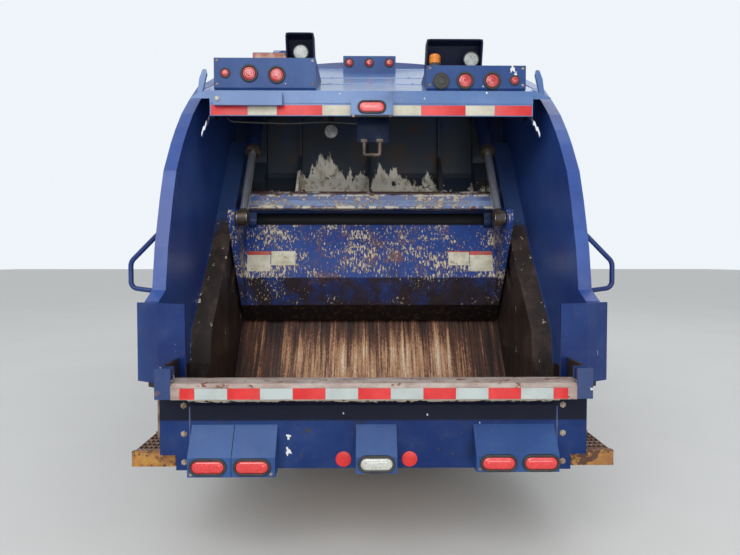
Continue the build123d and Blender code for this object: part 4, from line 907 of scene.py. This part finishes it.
# The side wall from its bead to the shoulder: share of the half width, and radius
SIDE_WALL = np.array([
    (-0.70, 0.2860), (-0.80, 0.2875), (-0.86, 0.2960), (-0.90, 0.3080), (-0.965, 0.3230), (-0.955, 0.3300),
    (-0.985, 0.3420), (-1.0, 0.3750), (-0.999, 0.4100), (-0.985, 0.4400), (-0.960, 0.4630), (-0.968, 0.4660),
    (-0.950, 0.4720), (-0.925, 0.4860), (-0.885, 0.5040)])


def tyre_sheet(x_mid, t, drive):
    """P(column, angle): (x + zigzag, r cos q, r sin q), with r from the section less the depth of a groove
    or slot."""
    wall_x, wall_r = SIDE_WALL[:, 0] * WIDTH / 2, SIDE_WALL[:, 1]
    grooves = np.add.outer([-0.082, -0.030, 0.030, 0.082], [-0.0075, -0.0055, 0.0055, 0.0075]).ravel()
    none = np.zeros(len(wall_x))
    rise = np.append(none[3:], [0.5, 1.0, 1.0])
    x = np.concatenate([wall_x, grooves, -wall_x[::-1]])[:, None]
    r = np.concatenate([wall_r, RADIUS - 0.5 * grooves ** 2, wall_r[::-1]])[:, None]
    deep = np.concatenate([none, np.tile([0, 1, 1, 0], 4), none])[:, None]
    shoulder = np.concatenate([rise, [1.0], np.zeros(14), [1.0], rise[::-1]])[:, None]
    step = np.arange(STEPS)
    q = step * 2 * math.pi / STEPS
    tread = (np.abs(x) < 0.45 * WIDTH) & (r > 0.500)
    zigzag = 0.0045 * (2 / math.pi) * np.arcsin(np.sin(q * 27)) * tread
    slot = (step % 4 == 0) | (drive & (step % 4 == 1))
    r = r - 0.013 * deep - 0.010 * shoulder * slot
    grid = np.stack([x_mid + x + zigzag, ahead(t) + r * np.cos(q), RADIUS + r * np.sin(q)], axis=-1)
    return weave(np.concatenate([grid, grid[:1]]))


WHEELS = [(f"{place}_{word}", hand, t, xs) for hand, word in SIDES for place, t, xs in (
    ("front", 7.570, (1.050,)), ("rear", 2.475, (0.740, 1.065)), ("mid", 3.825, (0.740, 1.065)))]
for name, hand, t, xs in WHEELS:
    make(f"treaded_tyre_{name}", [tyre_sheet(hand * x, t, len(xs) == 2) for x in xs], "tyre_rubber",
         f"wheel_{name}", f"tyre_{name}")
print("ten treaded tyres")

# %% [markdown]
# A disc wheel is pressed from plate: a drop-centre barrel with rolled lips, and a dished disc with ten
# hand holes and ten nuts. Each tenth of the disc is a plate with one hole. Its surface runs from the
# square edge on the back, in to the hole, through it, and out to the square edge on the front.

# %% Rims and hubs
HOLES = 10
DISC_IN, DISC_OUT, HALF_PLATE = 0.150, 0.262, 0.0045
HOLE_HALF_WIDTH, HOLE_HALF_HEIGHT = 0.026, 0.032


def tenth(centre, hand, k, dish):
    """One tenth of a disc: s from -1 to 0 on the back and 0 to 1 on the front, between a square in (angle,
    radius) and an ellipse at its middle, laid on the dish x = dish + 0.02 (1 - cos) of the radius."""
    phi = np.arange(32) * 2 * math.pi / 32
    unit = np.stack([np.cos(phi), np.sin(phi)])
    square = unit / np.abs(unit).max(axis=0)
    mid, half, sector = (DISC_IN + DISC_OUT) / 2, (DISC_OUT - DISC_IN) / 2, math.pi / HOLES
    s = np.array([-1, -0.6, -0.25, -0.06, 0.0, 0.06, 0.25, 0.6, 1.0])[:, None]
    out = np.abs(s)
    a = ((1 - out) * unit[0] * HOLE_HALF_WIDTH / (mid * sector) + out * square[0]) * sector + k * 2 * sector
    r = mid + half * ((1 - out) * unit[1] * HOLE_HALF_HEIGHT / half + out * square[1])
    fill = np.clip((r - DISC_IN) / (DISC_OUT - DISC_IN), 0, 1)
    skin = np.sign(s + 1e-9) * HALF_PLATE * np.minimum(1, out / 0.06)
    x = hand * (dish + 0.020 * (1 - np.cos(math.pi * fill)) + skin)
    return weave(np.stack([centre[0] + x, centre[1] + r * np.cos(a), centre[2] + r * np.sin(a)], axis=-1))


def disc_edges(centre, hand, dish):
    """Bands that close the disc at its inner and its outer circle, on the same angles as the tenths."""
    a = np.tan(np.linspace(-math.pi / 4, math.pi / 4, 9))[:-1] * math.pi / HOLES
    a = np.add.outer(np.arange(HOLES) * 2 * math.pi / HOLES, a).ravel()
    bands = []
    for r, depth in ((DISC_IN, 0.0), (DISC_OUT, 0.04)):
        x = hand * (dish + depth + np.array([-HALF_PLATE, HALF_PLATE]))[:, None] + 0 * a
        bands.append(weave(np.stack([centre[0] + x, centre[1] + r * np.cos(a) + 0 * x,
                                     centre[2] + r * np.sin(a) + 0 * x], axis=-1)))
    return bands


# Half section of the barrel: the outside with rolled lips and a drop centre, then the inside
half = 0.72 * WIDTH / 2
BARREL = [(-half, 0.2850), (-half - 0.002, 0.2900), (-half + 0.004, 0.2930), (-half + 0.010, 0.2850),
          (-0.060, 0.2800), (-0.045, 0.2640), (0.045, 0.2640), (0.060, 0.2800), (half - 0.010, 0.2850),
          (half - 0.004, 0.2930), (half + 0.002, 0.2900), (half, 0.2850), (half - 0.012, 0.2780),
          (0.055, 0.2720), (0.040, 0.2570), (-0.040, 0.2570), (-0.055, 0.2720), (-half + 0.012, 0.2780),
          (-half, 0.2850)]
NUT = [(-0.004, 0), (-0.004, 0.019), (0.001, 0.019), (0.002, 0.0165), (0.020, 0.0165), (0.023, 0.0135),
       (0.023, 0.008), (0.034, 0.0075), (0.036, 0)]
for name, hand, t, xs in WHEELS:
    way, body, sheets = (hand, 0, 0), f"wheel_{name}", []
    for x, dish in zip(xs, (0.020, -0.080) if len(xs) == 2 else (-0.080,)):
        centre = at(hand * x, t, RADIUS)
        back, front = dish - HALF_PLATE, dish + HALF_PLATE
        sheets.append(turn(BARREL, centre, way, 72))
        sheets += [tenth(centre, hand, k, dish) for k in range(HOLES)] + disc_edges(centre, hand, dish)
        sheets.append(turn([(back, 0.060), (back, 0.152), (front, 0.152), (front, 0.060), (back, 0.060)],
                           centre, way, 60))
    nuts = [turn(NUT, (centre[0] + hand * (dish + 0.004), centre[1] + 0.1375 * math.cos(a),
                       centre[2] + 0.1375 * math.sin(a)), way, 6)
            for a in (np.arange(HOLES) + 0.5) * 2 * math.pi / HOLES]
    end = 0.125 if len(xs) == 2 else 0.088
    hub = [(-0.11, 0), (-0.11, 0.095), (dish - 0.01, 0.112), (dish + 0.012, 0.112), (dish + 0.03, 0.098),
           (end - 0.05, 0.088), (end - 0.028, 0.080), (end - 0.026, 0.098), (end - 0.012, 0.098),
           (end - 0.008, 0.070), (end, 0.056), (end, 0)]
    make(f"disc_wheel_{name}", sheets, "wheel_white", body, f"rim_{name}", sharp=35)
    make(f"hub_{name}", [turn(hub, centre, way, 40)], "chassis_black", body)
    make(f"nuts_{name}", nuts, "latch_steel", body, sharp=30)
print("rims, hubs and nuts")

# %% [markdown]
# Lorry seats are foam under cloth, crowned and pulled in along sewn channels, with a welt round the edge.
# A cushion is a squared-off ellipsoid: powers of the sine and cosine below one push it out to the corners.
# The channels are narrow valleys in it, and the crown is a gentle hill.

# %% Seats
CORNER_POWER = 0.34
SEAMS_ALONG, SEAMS_ACROSS_CUSHION, SEAMS_ACROSS_BACK = (-0.12, 0.12), (-0.09, 0.05), (-0.16, 0.0, 0.16)


def power(value, exponent):
    """A signed power, so that both halves of the form swell alike."""
    return np.sign(value) * np.abs(value) ** exponent


def cushion(centre, size, lean, channels=(), across=(), crown=0.02, rows=56, columns=96):
    """P(u, v) = size/2 (cos^e v cos^e u, cos^e v sin^e u, sin^e v), plus a crown, less the sewn channels
    along and across it; then the form leans back about X."""
    v = np.linspace(-math.pi / 2, math.pi / 2, rows)[:, None]
    u = np.arange(columns) * 2 * math.pi / columns
    body = power(np.cos(v), 0.42)
    x = size[0] / 2 * body * power(np.cos(u), CORNER_POWER)
    y = size[1] / 2 * body * power(np.sin(u), CORNER_POWER)
    z = size[2] / 2 * power(np.sin(v), 0.55) + 0 * x
    upper = z > 0
    hill = (1 - (2 * x / size[0]) ** 2) * (1 - (2 * y / size[1]) ** 2)
    z = z + upper * crown * hill
    for line, places in ((x, channels), (y, across)):
        for place in places:
            z = z - upper * 0.011 * np.exp(-((line - place) / 0.006) ** 2) * (hill > 0.02)
    z = z + 0.0022 * np.sin(x * 47) * np.sin(y * 39 + 1.3) * hill * upper
    return weave(leaned(np.stack([x, y, z], axis=-1), lean) + np.asarray(centre))


def welt(centre, size, lean):
    """A piped edge: a small round section carried round the cushion's widest outline."""
    u = np.arange(120) * 2 * math.pi / 120
    x, y = ((side / 2 + 0.001) * power(wave, CORNER_POWER)
            for side, wave in zip(size, (np.cos(u), np.sin(u))))
    path = leaned(np.stack([x, y, 0 * x], axis=-1), lean) + np.asarray(centre)
    return carry(ring(0.0055, 8), path, (0, -math.sin(lean), math.cos(lean)), closed=True)


upright = math.radians(90 + 10)
q = np.linspace(0, 1, 60)
bellows = np.stack([0.215 * q, 0.165 + 0.010 * np.abs(np.sin(q * math.pi * 6))], axis=1)
bellows = np.concatenate([[(0, 0)], bellows, [(0.215, 0)]])
for word, x in (("left", -0.800), ("right", 0.800)):
    low = at(x, 8.290, 1.548), (0.490, 0.470, 0.125), 0.05
    tall = at(x, 8.045, 1.945), (0.460, 0.660, 0.120), upright
    small = at(x, 7.945, 2.285), (0.250, 0.130, 0.085), upright
    for name, sheets in (
            ("seat_cushion", [cushion(*low, SEAMS_ALONG, SEAMS_ACROSS_CUSHION), welt(*low)]),
            ("seat_back", [cushion(*tall, SEAMS_ALONG, SEAMS_ACROSS_BACK), welt(*tall)]),
            ("head_rest", [cushion(*small, crown=0.012, rows=32, columns=56)])):
        piece = make(f"{name}_{word}", sheets, "seat_cloth", "cab")
        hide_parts("seats")
    pedestal = [bar((x - 0.20, x + 0.20), (8.080, 8.480), (1.190, 1.215), 0.006),
                turn(bellows, at(x, 8.280, 1.215), UP, 40),
                bar((x - 0.22, x + 0.22), (8.070, 8.500), (1.428, 1.492), 0.010)]
    pedestal += [bar((x + a, x + b), (7.985, 8.050), (1.50, 1.72), 0.004) for a, b in ((-0.205, -0.190),
                                                                                       (0.190, 0.205))]
    make(f"seat_pedestal_{word}", pedestal, "moulded_black", "cab", "seats")
print("seats stuffed and sewn")

# %% [markdown]
# A hydraulic cylinder ends in a gland nut that holds its seals, and its rod in a forged eye on a pin.
# Both are solids of turning. The gland turns about the cylinder's own line, the eye about the pin's.

# %% Glands and rod eyes
for word, foot, head, x, tube, bore, barrel_end, half, radius in (
        ("sweep", (2.150, 3.000), (1.350, 1.844), 0.900, 0.055, 0.030, 0.760, 0.0365, 0.0535),
        ("lift", (2.700, 1.700), (1.850, 2.650), 1.262, 0.036, 0.020, 1.170, 0.0175, 0.043)):
    nut = [(-0.028, tube), (-0.028, tube + 0.006), (0.010, tube + 0.006), (0.016, tube + 0.002),
           (0.016, bore + 0.002), (0.001, bore + 0.002), (0.001, tube), (-0.028, tube)]
    eye = [(-half, 0), (-half, radius - 0.004), (-half + 0.004, radius), (half - 0.004, radius),
           (half, radius - 0.004), (half, 0)]
    neck = [(-0.068, bore + 0.0008), (-0.066, bore + 0.003), (-0.058, bore + 0.004), (-0.044, radius * 0.8),
            (-0.030, radius * 0.8), (-0.030, bore * 0.5), (-0.068, bore * 0.5), (-0.068, bore + 0.0008)]
    glands, eyes = [], []
    for hand in HANDS:
        start, end = path_of((hand * x, *foot), (hand * x, *head))
        way = (end - start) / np.linalg.norm(end - start)
        glands.append(turn(nut, start + way * barrel_end, way, 40))
        eyes += [turn(eye, end, RIGHT, 40), turn(neck, end, way, 32)]
    make(f"{word}_gland_nuts", glands, "grease", f"{word}_barrels")
    make(f"{word}_rod_eyes", eyes, "grease", f"{word}_rods")
print("glands and eyes")

# %% [markdown]
# The hanger under the roof's edge carries a shackle bent from round bar. It is a circle carried along a
# path with two soft corners. The lamp hoods have rolled lips, and the roof has lapped seams with rivets.

# %% Shackle, hood lips and roof seams
ROOF_FOOT, ROOF_HEAD = (0.940, 2.610), (2.230, 3.190)
shackle = [(-0.048, 1.018, 2.325), (-0.048, 1.018, 2.225), (0.052, 1.018, 2.225), (0.052, 1.018, 2.325)]
make("shackle", [rod(0.0125, shackle, 0.016, 8, 14)], "grease")
make("shackle_clips", [bar((x - 0.022, x + 0.022), (1.004, 1.032), (2.302, 2.326), 0.004)
                       for x in (-0.048, 0.052)], "grease")
# A dark plate over the hanger bracket is painted shade behind the lip
make("hanger_shade_plate", [bar((-0.0935, 0.1095), (1.0062, 1.0095), (2.3035, 2.500), 0.003)], "blue_enamel_shaded")
lips = [rod(0.0052, [(low + 0.002, 1.010, box + 0.001), (low + 0.002, 0.961, top - 0.003),
                     (high - 0.002, 0.961, top - 0.003), (high - 0.002, 1.010, box + 0.001)],
            0.020, 7, reference=(0, 1, 0.3))
        for low, high, top, box in ((-0.540, -0.366, 2.975, 2.815), (0.348, 0.700, 2.938, 2.772))]
make("hood_lips", lips, "blue_enamel_boxes")

slope = math.atan2(ROOF_HEAD[1] - ROOF_FOOT[1], ROOF_HEAD[0] - ROOF_FOOT[0])
normal = (0, -math.sin(slope), math.cos(slope))
lap = [(-0.020, -0.002), (-0.019, 0.002), (-0.012, 0.0034), (0.012, 0.0034), (0.019, 0.002), (0.020, -0.002)]
rivet = [(-0.002, 0), (-0.002, 0.008), (0.001, 0.0078), (0.0035, 0.005), (0.0045, 0)]
seams, rivets = [], []
for t in (1.235, 1.560, 2.120):
    level = np.interp(t, *zip(ROOF_FOOT, ROOF_HEAD))
    seams.append(carry(lap, path_of((-1.020, t, level), (1.020, t, level)), normal))
    rivets += [turn(rivet, at(x, t, level + 0.003), normal, 12) for x in np.arange(-0.980, 0.981, 0.140)]
make("roof_seams", seams, "blue_enamel_lit_roof")
make("roof_rivets", rivets, "blue_enamel_boxes")
print("shackle, lips, and", len(rivets), "rivets in the roof's seams")

# %% [markdown]
# Small marks make the rear end real: bolt heads, weld beads laid by hand, old bolt holes, and chips
# where the enamel has broken away to white primer. A bead's radius swells as the welder's hand moves,
# and a chip's outline is a circle with three waves on it.

# %% Bolts, welds, holes and chips
BEAD_STEP, BEAD_SIDES = 0.0035, 7
CHIP_STEPS, CHIP_LIFT = 28, 0.0004


def bolts(t, places, across=0.006, height=0.004):
    """Hexagon heads on washers, standing on a face."""
    head = [(-0.001, 0), (-0.001, across * 1.45), (0.0015, across * 1.45), (0.002, across),
            (height * 0.8, across), (height, across * 0.8), (height, 0)]
    return [turn(head, at(x, t, z), REARWARD, 6) for x, z in places]


heads = bolts(PANEL_FACE, [(x, z) for x in (-0.930, 0.930) for z in (0.560, 0.700, 0.840)], 0.011, 0.007)
heads += bolts(LAMP_BOX_FACE, [(-0.872, 0.531), (-0.490, 0.531), (0.506, 0.552), (0.868, 0.552)])
heads += bolts(LIP_FACE, [(-0.115, 2.4445), (0.115, 2.4445)])
heads += bolts(BOX_FACE, [(x, z) for low, high, top in ((-0.968, -0.371, 2.797), (0.365, 0.949, 2.754))
                          for x in (low, high) for z in (2.650, top)])
make("tailgate_bolts", heads, "latch_steel", sharp=30)


def weld_bead(*corners, radius=0.005):
    """A seam laid by hand: a small circle carried along a path, its radius swelling every 7 mm."""
    path = path_of(*corners)
    steps = max(12, int(np.linalg.norm(np.diff(path, axis=0), axis=1).sum() / BEAD_STEP))
    q = np.linspace(0, len(path) - 1, steps)
    whole = np.stack([np.interp(q, np.arange(len(path)), path[:, k]) for k in range(3)], axis=1)
    points, quads = carry(ring(1.0, BEAD_SIDES), whole, (0.3, 0.5, 0.81))
    swell = radius * (1 + 0.16 * np.sin(np.arange(steps) * 2.9))[:, None, None]
    grid = points.reshape(steps + 2, BEAD_SIDES, 3)
    grid[1:-1] = whole[:, None] + (grid[1:-1] - whole[:, None]) * swell
    return grid.reshape(-1, 3), quads


beads, steel_beads = [], []
for hand in HANDS:
    steel_beads += [weld_bead((hand * 0.951, 0.010, 0.984), (hand * 0.951, 0.058, 0.984)),
                    weld_bead((hand * 1.000, 0.062, 0.983), (hand * 1.000, 0.099, 0.983)),
                    weld_bead(*[(hand * x, 0.101, 0.978) for x in (0.995, 0.600, 0.02)])]
    beads.append(weld_bead((hand * 0.901, 0.131, 0.530), (hand * 0.901, 0.131, 0.835), radius=0.004))
make("weld_beads", beads, "weld_metal", sharp=80)
make("sill_weld_beads", steel_beads, "sill_steel", sharp=80)
holes = [turn([(-0.001, 0), (-0.001, r), (0.0006, r), (0.0006, 0)], at(x, PANEL_FACE, z), REARWARD, 20)
         for x, z, r in ((-0.325, 0.715, 0.011), (-0.356, 0.590, 0.006), (-0.236, 0.671, 0.004),
                         (0.317, 0.620, 0.006), (0.388, 0.597, 0.006), (0.333, 0.672, 0.004),
                         (-0.415, 0.745, 0.004), (0.430, 0.700, 0.004))]
make("panel_holes", holes, "grommet_rubber")


def chip(t, x, z, size, phase):
    """A flake's scar: a thin plate whose outline is r(q) = size (0.7 + three sines of q), narrowed across."""
    q = np.arange(CHIP_STEPS) * 2 * math.pi / CHIP_STEPS
    r = size * (0.7 + 0.25 * np.sin(3 * q + phase) + 0.18 * np.sin(5 * q + 2 * phase)
                + 0.1 * np.sin(9 * q + 3 * phase))
    outline = np.stack([x + 0.7 * r * np.cos(q), ahead(t) + 0 * q, z + r * np.sin(q)], axis=-1)
    middle = np.repeat([at(x, t, z)], CHIP_STEPS, axis=0)
    lift = CHIP_LIFT * np.array([1, 1, -1, -1])[:, None, None] * np.array(FORWARD)
    return weave(np.stack([middle, outline, outline, middle]) + lift)


# Each group: the face that is chipped, then x, z, size and phase of its chips
SCARS = (
    (PANEL_FACE, (-0.419, 0.685, 0.018, 0.3), (-0.421, 0.612, 0.024, 1.9), (-0.150, 0.800, 0.006, 0.9),
     (0.262, 0.792, 0.007, 2.2)),
    (BOX_FACE, (0.885, 2.752, 0.028, 2.9), (0.905, 2.720, 0.016, 4.1), (0.700, 2.642, 0.007, 1.2)),
    (LAMP_BOX_FACE, (-0.640, 0.600, 0.005, 3.3), (0.560, 0.548, 0.006, 5.0), (-0.860, 0.596, 0.006, 0.1)),
    (LIP_PAINT, (-0.200, 2.590, 0.006, 2.6), (0.330, 2.560, 0.008, 4.4), (0.720, 2.597, 0.010, 0.7)),
    (BOX_FACE, (-0.540, 2.655, 0.005, 1.1)), (PANEL_FACE, (0.520, 0.752, 0.005, 2.0)))
make("paint_chips", [chip(t, *scar) for t, *group in SCARS for scar in group], "bare_primer")
make("lamp_box_seam", [rod(0.0016, [(-0.681, 0.129, 0.744), (-0.681, 0.0455, 0.611), (-0.681, 0.0455, 0.519)],
                           0.006, 4, 6, RIGHT)], "blue_enamel_shaded")
conduit = [(-0.930, 1.060, 2.600), (-0.930, 1.030, 2.438), (-0.520, 1.030, 2.425), (-0.300, 1.040, 2.440),
           (-0.130, 1.018, 2.425), (-0.092, 1.018, 2.425)]
make("ceiling_conduit", [rod(0.0065, conduit, 0.06, 8)], "grommet_rubber")
print(len(heads), "bolts, weld beads, holes and chips")

# %% [markdown]
# Windows sit in rubber. The seal is one round section carried all the way round each opening, with soft
# corners. The screen leans, so its path climbs along the cab's face.

# %% Window seals
def screen_face(z):
    """Distance ahead of the sill of the cab's leaning face at a height."""
    return 9.235 - (z - 1.720) * 0.175 / 0.970


def seal(name, corners, body="cab", reference=FORWARD):
    """A rubber seal round an opening."""
    path = closed_curve(path_of(*corners), 0.05)
    make(name, [carry(ring(0.011), path, reference, closed=True)], "grommet_rubber", body)


seal("windscreen_seal", [(x, screen_face(z) - 0.002, z) for x, z in (
    (-1.058, 1.792), (1.058, 1.792), (1.058, 2.558), (-1.058, 2.558))], reference=(0, 1, 0.18))
seal("rear_window_seal", [(x, 7.501, z) for x, z in ((-0.598, 1.902), (0.598, 1.902), (0.598, 2.448),
                                                     (-0.598, 2.448))])
for hand, word in SIDES:
    for name, body, corners in (
            ("quarter", "cab", ((7.682, 1.802), (8.138, 1.802), (8.138, 2.478), (7.682, 2.478))),
            ("door", f"door_{word}", ((8.342, 1.782), (9.008, 1.782), (8.900, 2.478), (8.342, 2.478)))):
        seal(f"{name}_window_seal_{word}", [(hand * 1.199, t, z) for t, z in corners], body, RIGHT)
print("seals round six openings")

# %% [markdown]
# The cab's face carries a black grille of slanted slats, wipers parked on the screen, ribbed head lamps in
# the bumper, marker lamps on the roof's edge, and a blank plate. Slats and plates are rounded bars.

# %% Cab face
BUMPER_FACE, LAMP_LEVEL = 9.2925, 0.540
slats = [bar((-0.700, 0.700), (9.248, 9.254), (1.190, 1.590), 0.003)]
for z in np.linspace(1.222, 1.558, 8):
    points, quads = bar((-0.675, 0.675), (9.252, 9.262), (z - 0.014, z + 0.014), 0.004)
    slats.append((leaned(points, -0.5, at(0, 9.254, z)), quads))
slats += [bar((x - 0.012, x + 0.012), (9.250, 9.270), (1.186, 1.594), 0.005) for x in (-0.690, 0.690)]
slats += [bar((-0.700, 0.700), (9.250, 9.270), (z - 0.011, z + 0.011), 0.005) for z in (1.192, 1.588)]
make("grille", slats, "moulded_black", "cab")

glasses, bezels, ambers = [], [], []
for hand in HANDS:
    bezels.append(bar((hand * 0.624, hand * 0.976), (9.288, BUMPER_FACE), (0.474, 0.606), 0.012))
    for x in (0.700, 0.838):
        (glass,), (collar,) = lamps("head", FORWARD, (hand * x, BUMPER_FACE, LAMP_LEVEL))
        glasses.append(glass)
        bezels.append(collar)
    ambers.append(turn(dome(0.026, 0.005, 3), at(hand * 0.933, BUMPER_FACE, LAMP_LEVEL), FORWARD, 30))
markers, feet = lamps("cab", (0, 0.316, 0.949),
                      *[(x, 8.970, 2.7205) for x in (-0.900, -0.180, 0.0, 0.180, 0.900)])
make("head_lamp_glass", glasses, "lens_clear", "chassis", "head_lamps")
make("head_lamp_bezels", bezels, "moulded_black", "chassis")
make("roof_marker_feet", feet, "grommet_rubber", "cab")
make("front_indicators", ambers, "lens_amber", "chassis")
make("roof_markers", markers, "lens_amber", "cab")
make("front_blank_plate", [bar((-0.260, 0.260), (9.289, 9.2935), (0.490, 0.600))], "label_cream", "chassis")


def glass_face(z):
    """Distance ahead of the sill of the windscreen's outer face at a height."""
    return 9.196 - 0.1805 * (z - 1.790)


PIVOT, REST = 1.745, 1.845
mount, glass = screen_face(PIVOT), glass_face(REST)
wipers = []
for x in (-0.780, 0.060):
    arm = [(x, mount - 0.004, PIVOT), (x, mount + 0.018, PIVOT + 0.004),
           (x + 0.06, screen_face(1.790) + 0.016, 1.790), (x + 0.30, glass_face(1.835) + 0.030, 1.835),
           (x + 0.36, glass + 0.016, REST)]
    wipers += [rod(0.0065, arm, 0.03, 6, 8),
               bar((x + 0.06, x + 0.70), (glass + 0.004, glass + 0.018), (REST - 0.006, REST + 0.006), 0.003),
               turn([(-0.004, 0), (-0.004, 0.022), (0.010, 0.020), (0.020, 0.012), (0.022, 0)],
                    at(x, mount, PIVOT), (0, 1, 0.18), 24)]
make("wipers", wipers, "moulded_black", "cab")
print("grille, lamps and wipers")

# %% [markdown]
# A door has a pull handle bent from round bar over a recessed cup. The mirrors get real mirror faces,
# and the steps ribs that grip a boot.

# %% Doors, mirrors and steps
for hand, word in SIDES:
    near, far = hand * 1.196, hand * 1.232
    pull = [(near, 8.330, 1.655), (far, 8.335, 1.655), (far, 8.500, 1.655), (near, 8.505, 1.655)]
    make(f"door_handle_{word}", [rod(0.0085, pull, 0.02, reference=UP),
                                 bar((hand * 1.197, hand * 1.2025), (8.310, 8.525), (1.610, 1.700))],
         "moulded_black", f"door_{word}")
    make(f"mirror_face_{word}", [bar((hand * 1.240, hand * 1.388), (9.1365, 9.1395), (1.930, 2.440), 0.0015)],
         "mirror_face", "cab")
make("cab_step_ribs", [bar((hand * 1.004, hand * 1.186), (t - 0.006, t + 0.006), (0.428, 0.435), 0.0025)
                       for hand in HANDS for t in np.arange(8.43, 8.98, 0.06)], "grating_steel", "chassis")
print("handles, mirror faces and step ribs")

# %% [markdown]
# The body is a tube of sheet between ribs. Marker tape runs low along each bay, small lamps mark its
# length, and a hatch at the front left lets the driver reach behind the ejector. Straps hold the tank.

# %% Body sides
BAYS = [(2.335, 2.893)] + [(2.997 + 0.580 * k, 3.473 + 0.580 * k) for k in range(6)] + [(6.477, 6.893)]
side_red, side_white, markers, feet = [], [], [], []
for hand in HANDS:
    skin = (hand * 1.1897, hand * 1.1912)
    for low, high in BAYS:
        middle = (low + high) / 2
        for a, b, group in ((low, middle, side_red), (middle, high, side_white)):
            group.append(bar(skin, (a + 0.004, b - 0.001), (1.160, 1.210), 0.0006, 2))
    lenses, collars = lamps("side", (hand, 0, 0), *[(hand * 1.190, t, 1.290) for t in (2.62, 4.35, 6.10)])
    markers += lenses
    feet += collars
make("side_tape_red", side_red, "tape_red", "chassis")
make("side_tape_white", side_white, "tape_white", "chassis")
make("side_markers", markers, "lens_amber", "chassis")
make("side_marker_feet", feet, "grommet_rubber", "chassis")

hinge = [(-0.055, 0), (-0.055, 0.012), (0.055, 0.012), (0.055, 0)]
hatch = [bar((-1.2010, -1.1890), (6.500, 6.865), (1.400, 2.150), 0.005)]
hatch += [turn(hinge, at(-1.204, 6.500, z), UP, 20) for z in (1.520, 2.030)]
make("side_hatch", hatch, "blue_enamel", "chassis")
grip = [(-1.199, 6.820, 1.720), (-1.214, 6.820, 1.720), (-1.214, 6.820, 1.830), (-1.199, 6.820, 1.830)]
make("hatch_grip", [rod(0.006, grip, 0.01, 5)], "latch_steel", "chassis")

flat_strap = [(-0.0025, -0.028), (0.0025, -0.028), (0.0025, 0.028), (-0.0025, 0.028)]
cap = [(-0.002, 0), (-0.002, 0.044), (0.018, 0.044), (0.024, 0.038), (0.024, 0.030), (0.032, 0.026),
       (0.032, 0)]
straps = [carry(flat_strap, closed_curve(path_of((0.543, t, 0.488), (1.147, t, 0.488), (1.147, t, 1.052),
                                                 (0.543, t, 1.052)), 0.06, 8), closed=True)
          for t in (5.560, 6.340)]
make("tank_straps_and_cap", straps + [turn(cap, at(0.980, 5.450, 1.050), UP, 36)], "latch_steel", "chassis")

pipes = [rod(0.0085, [(hand * 1.203, t, 1.560), (hand * 1.203, t, 1.150), (hand * 1.110, t, 1.095),
                      (hand * 0.600, t + 0.050, 1.092)], 0.05, 7) for hand in HANDS for t in (2.650, 2.684)]
clamps = [bar((hand * 1.1895, hand * 1.2135), (2.632, 2.702), (z - 0.012, z + 0.012), 0.005)
          for hand in HANDS for z in (1.240, 1.450)]
make("lift_pipes", pipes, "latch_steel", "chassis")
make("pipe_clamps", clamps, "moulded_black", "chassis")
print("body sides, tank straps and pipes")
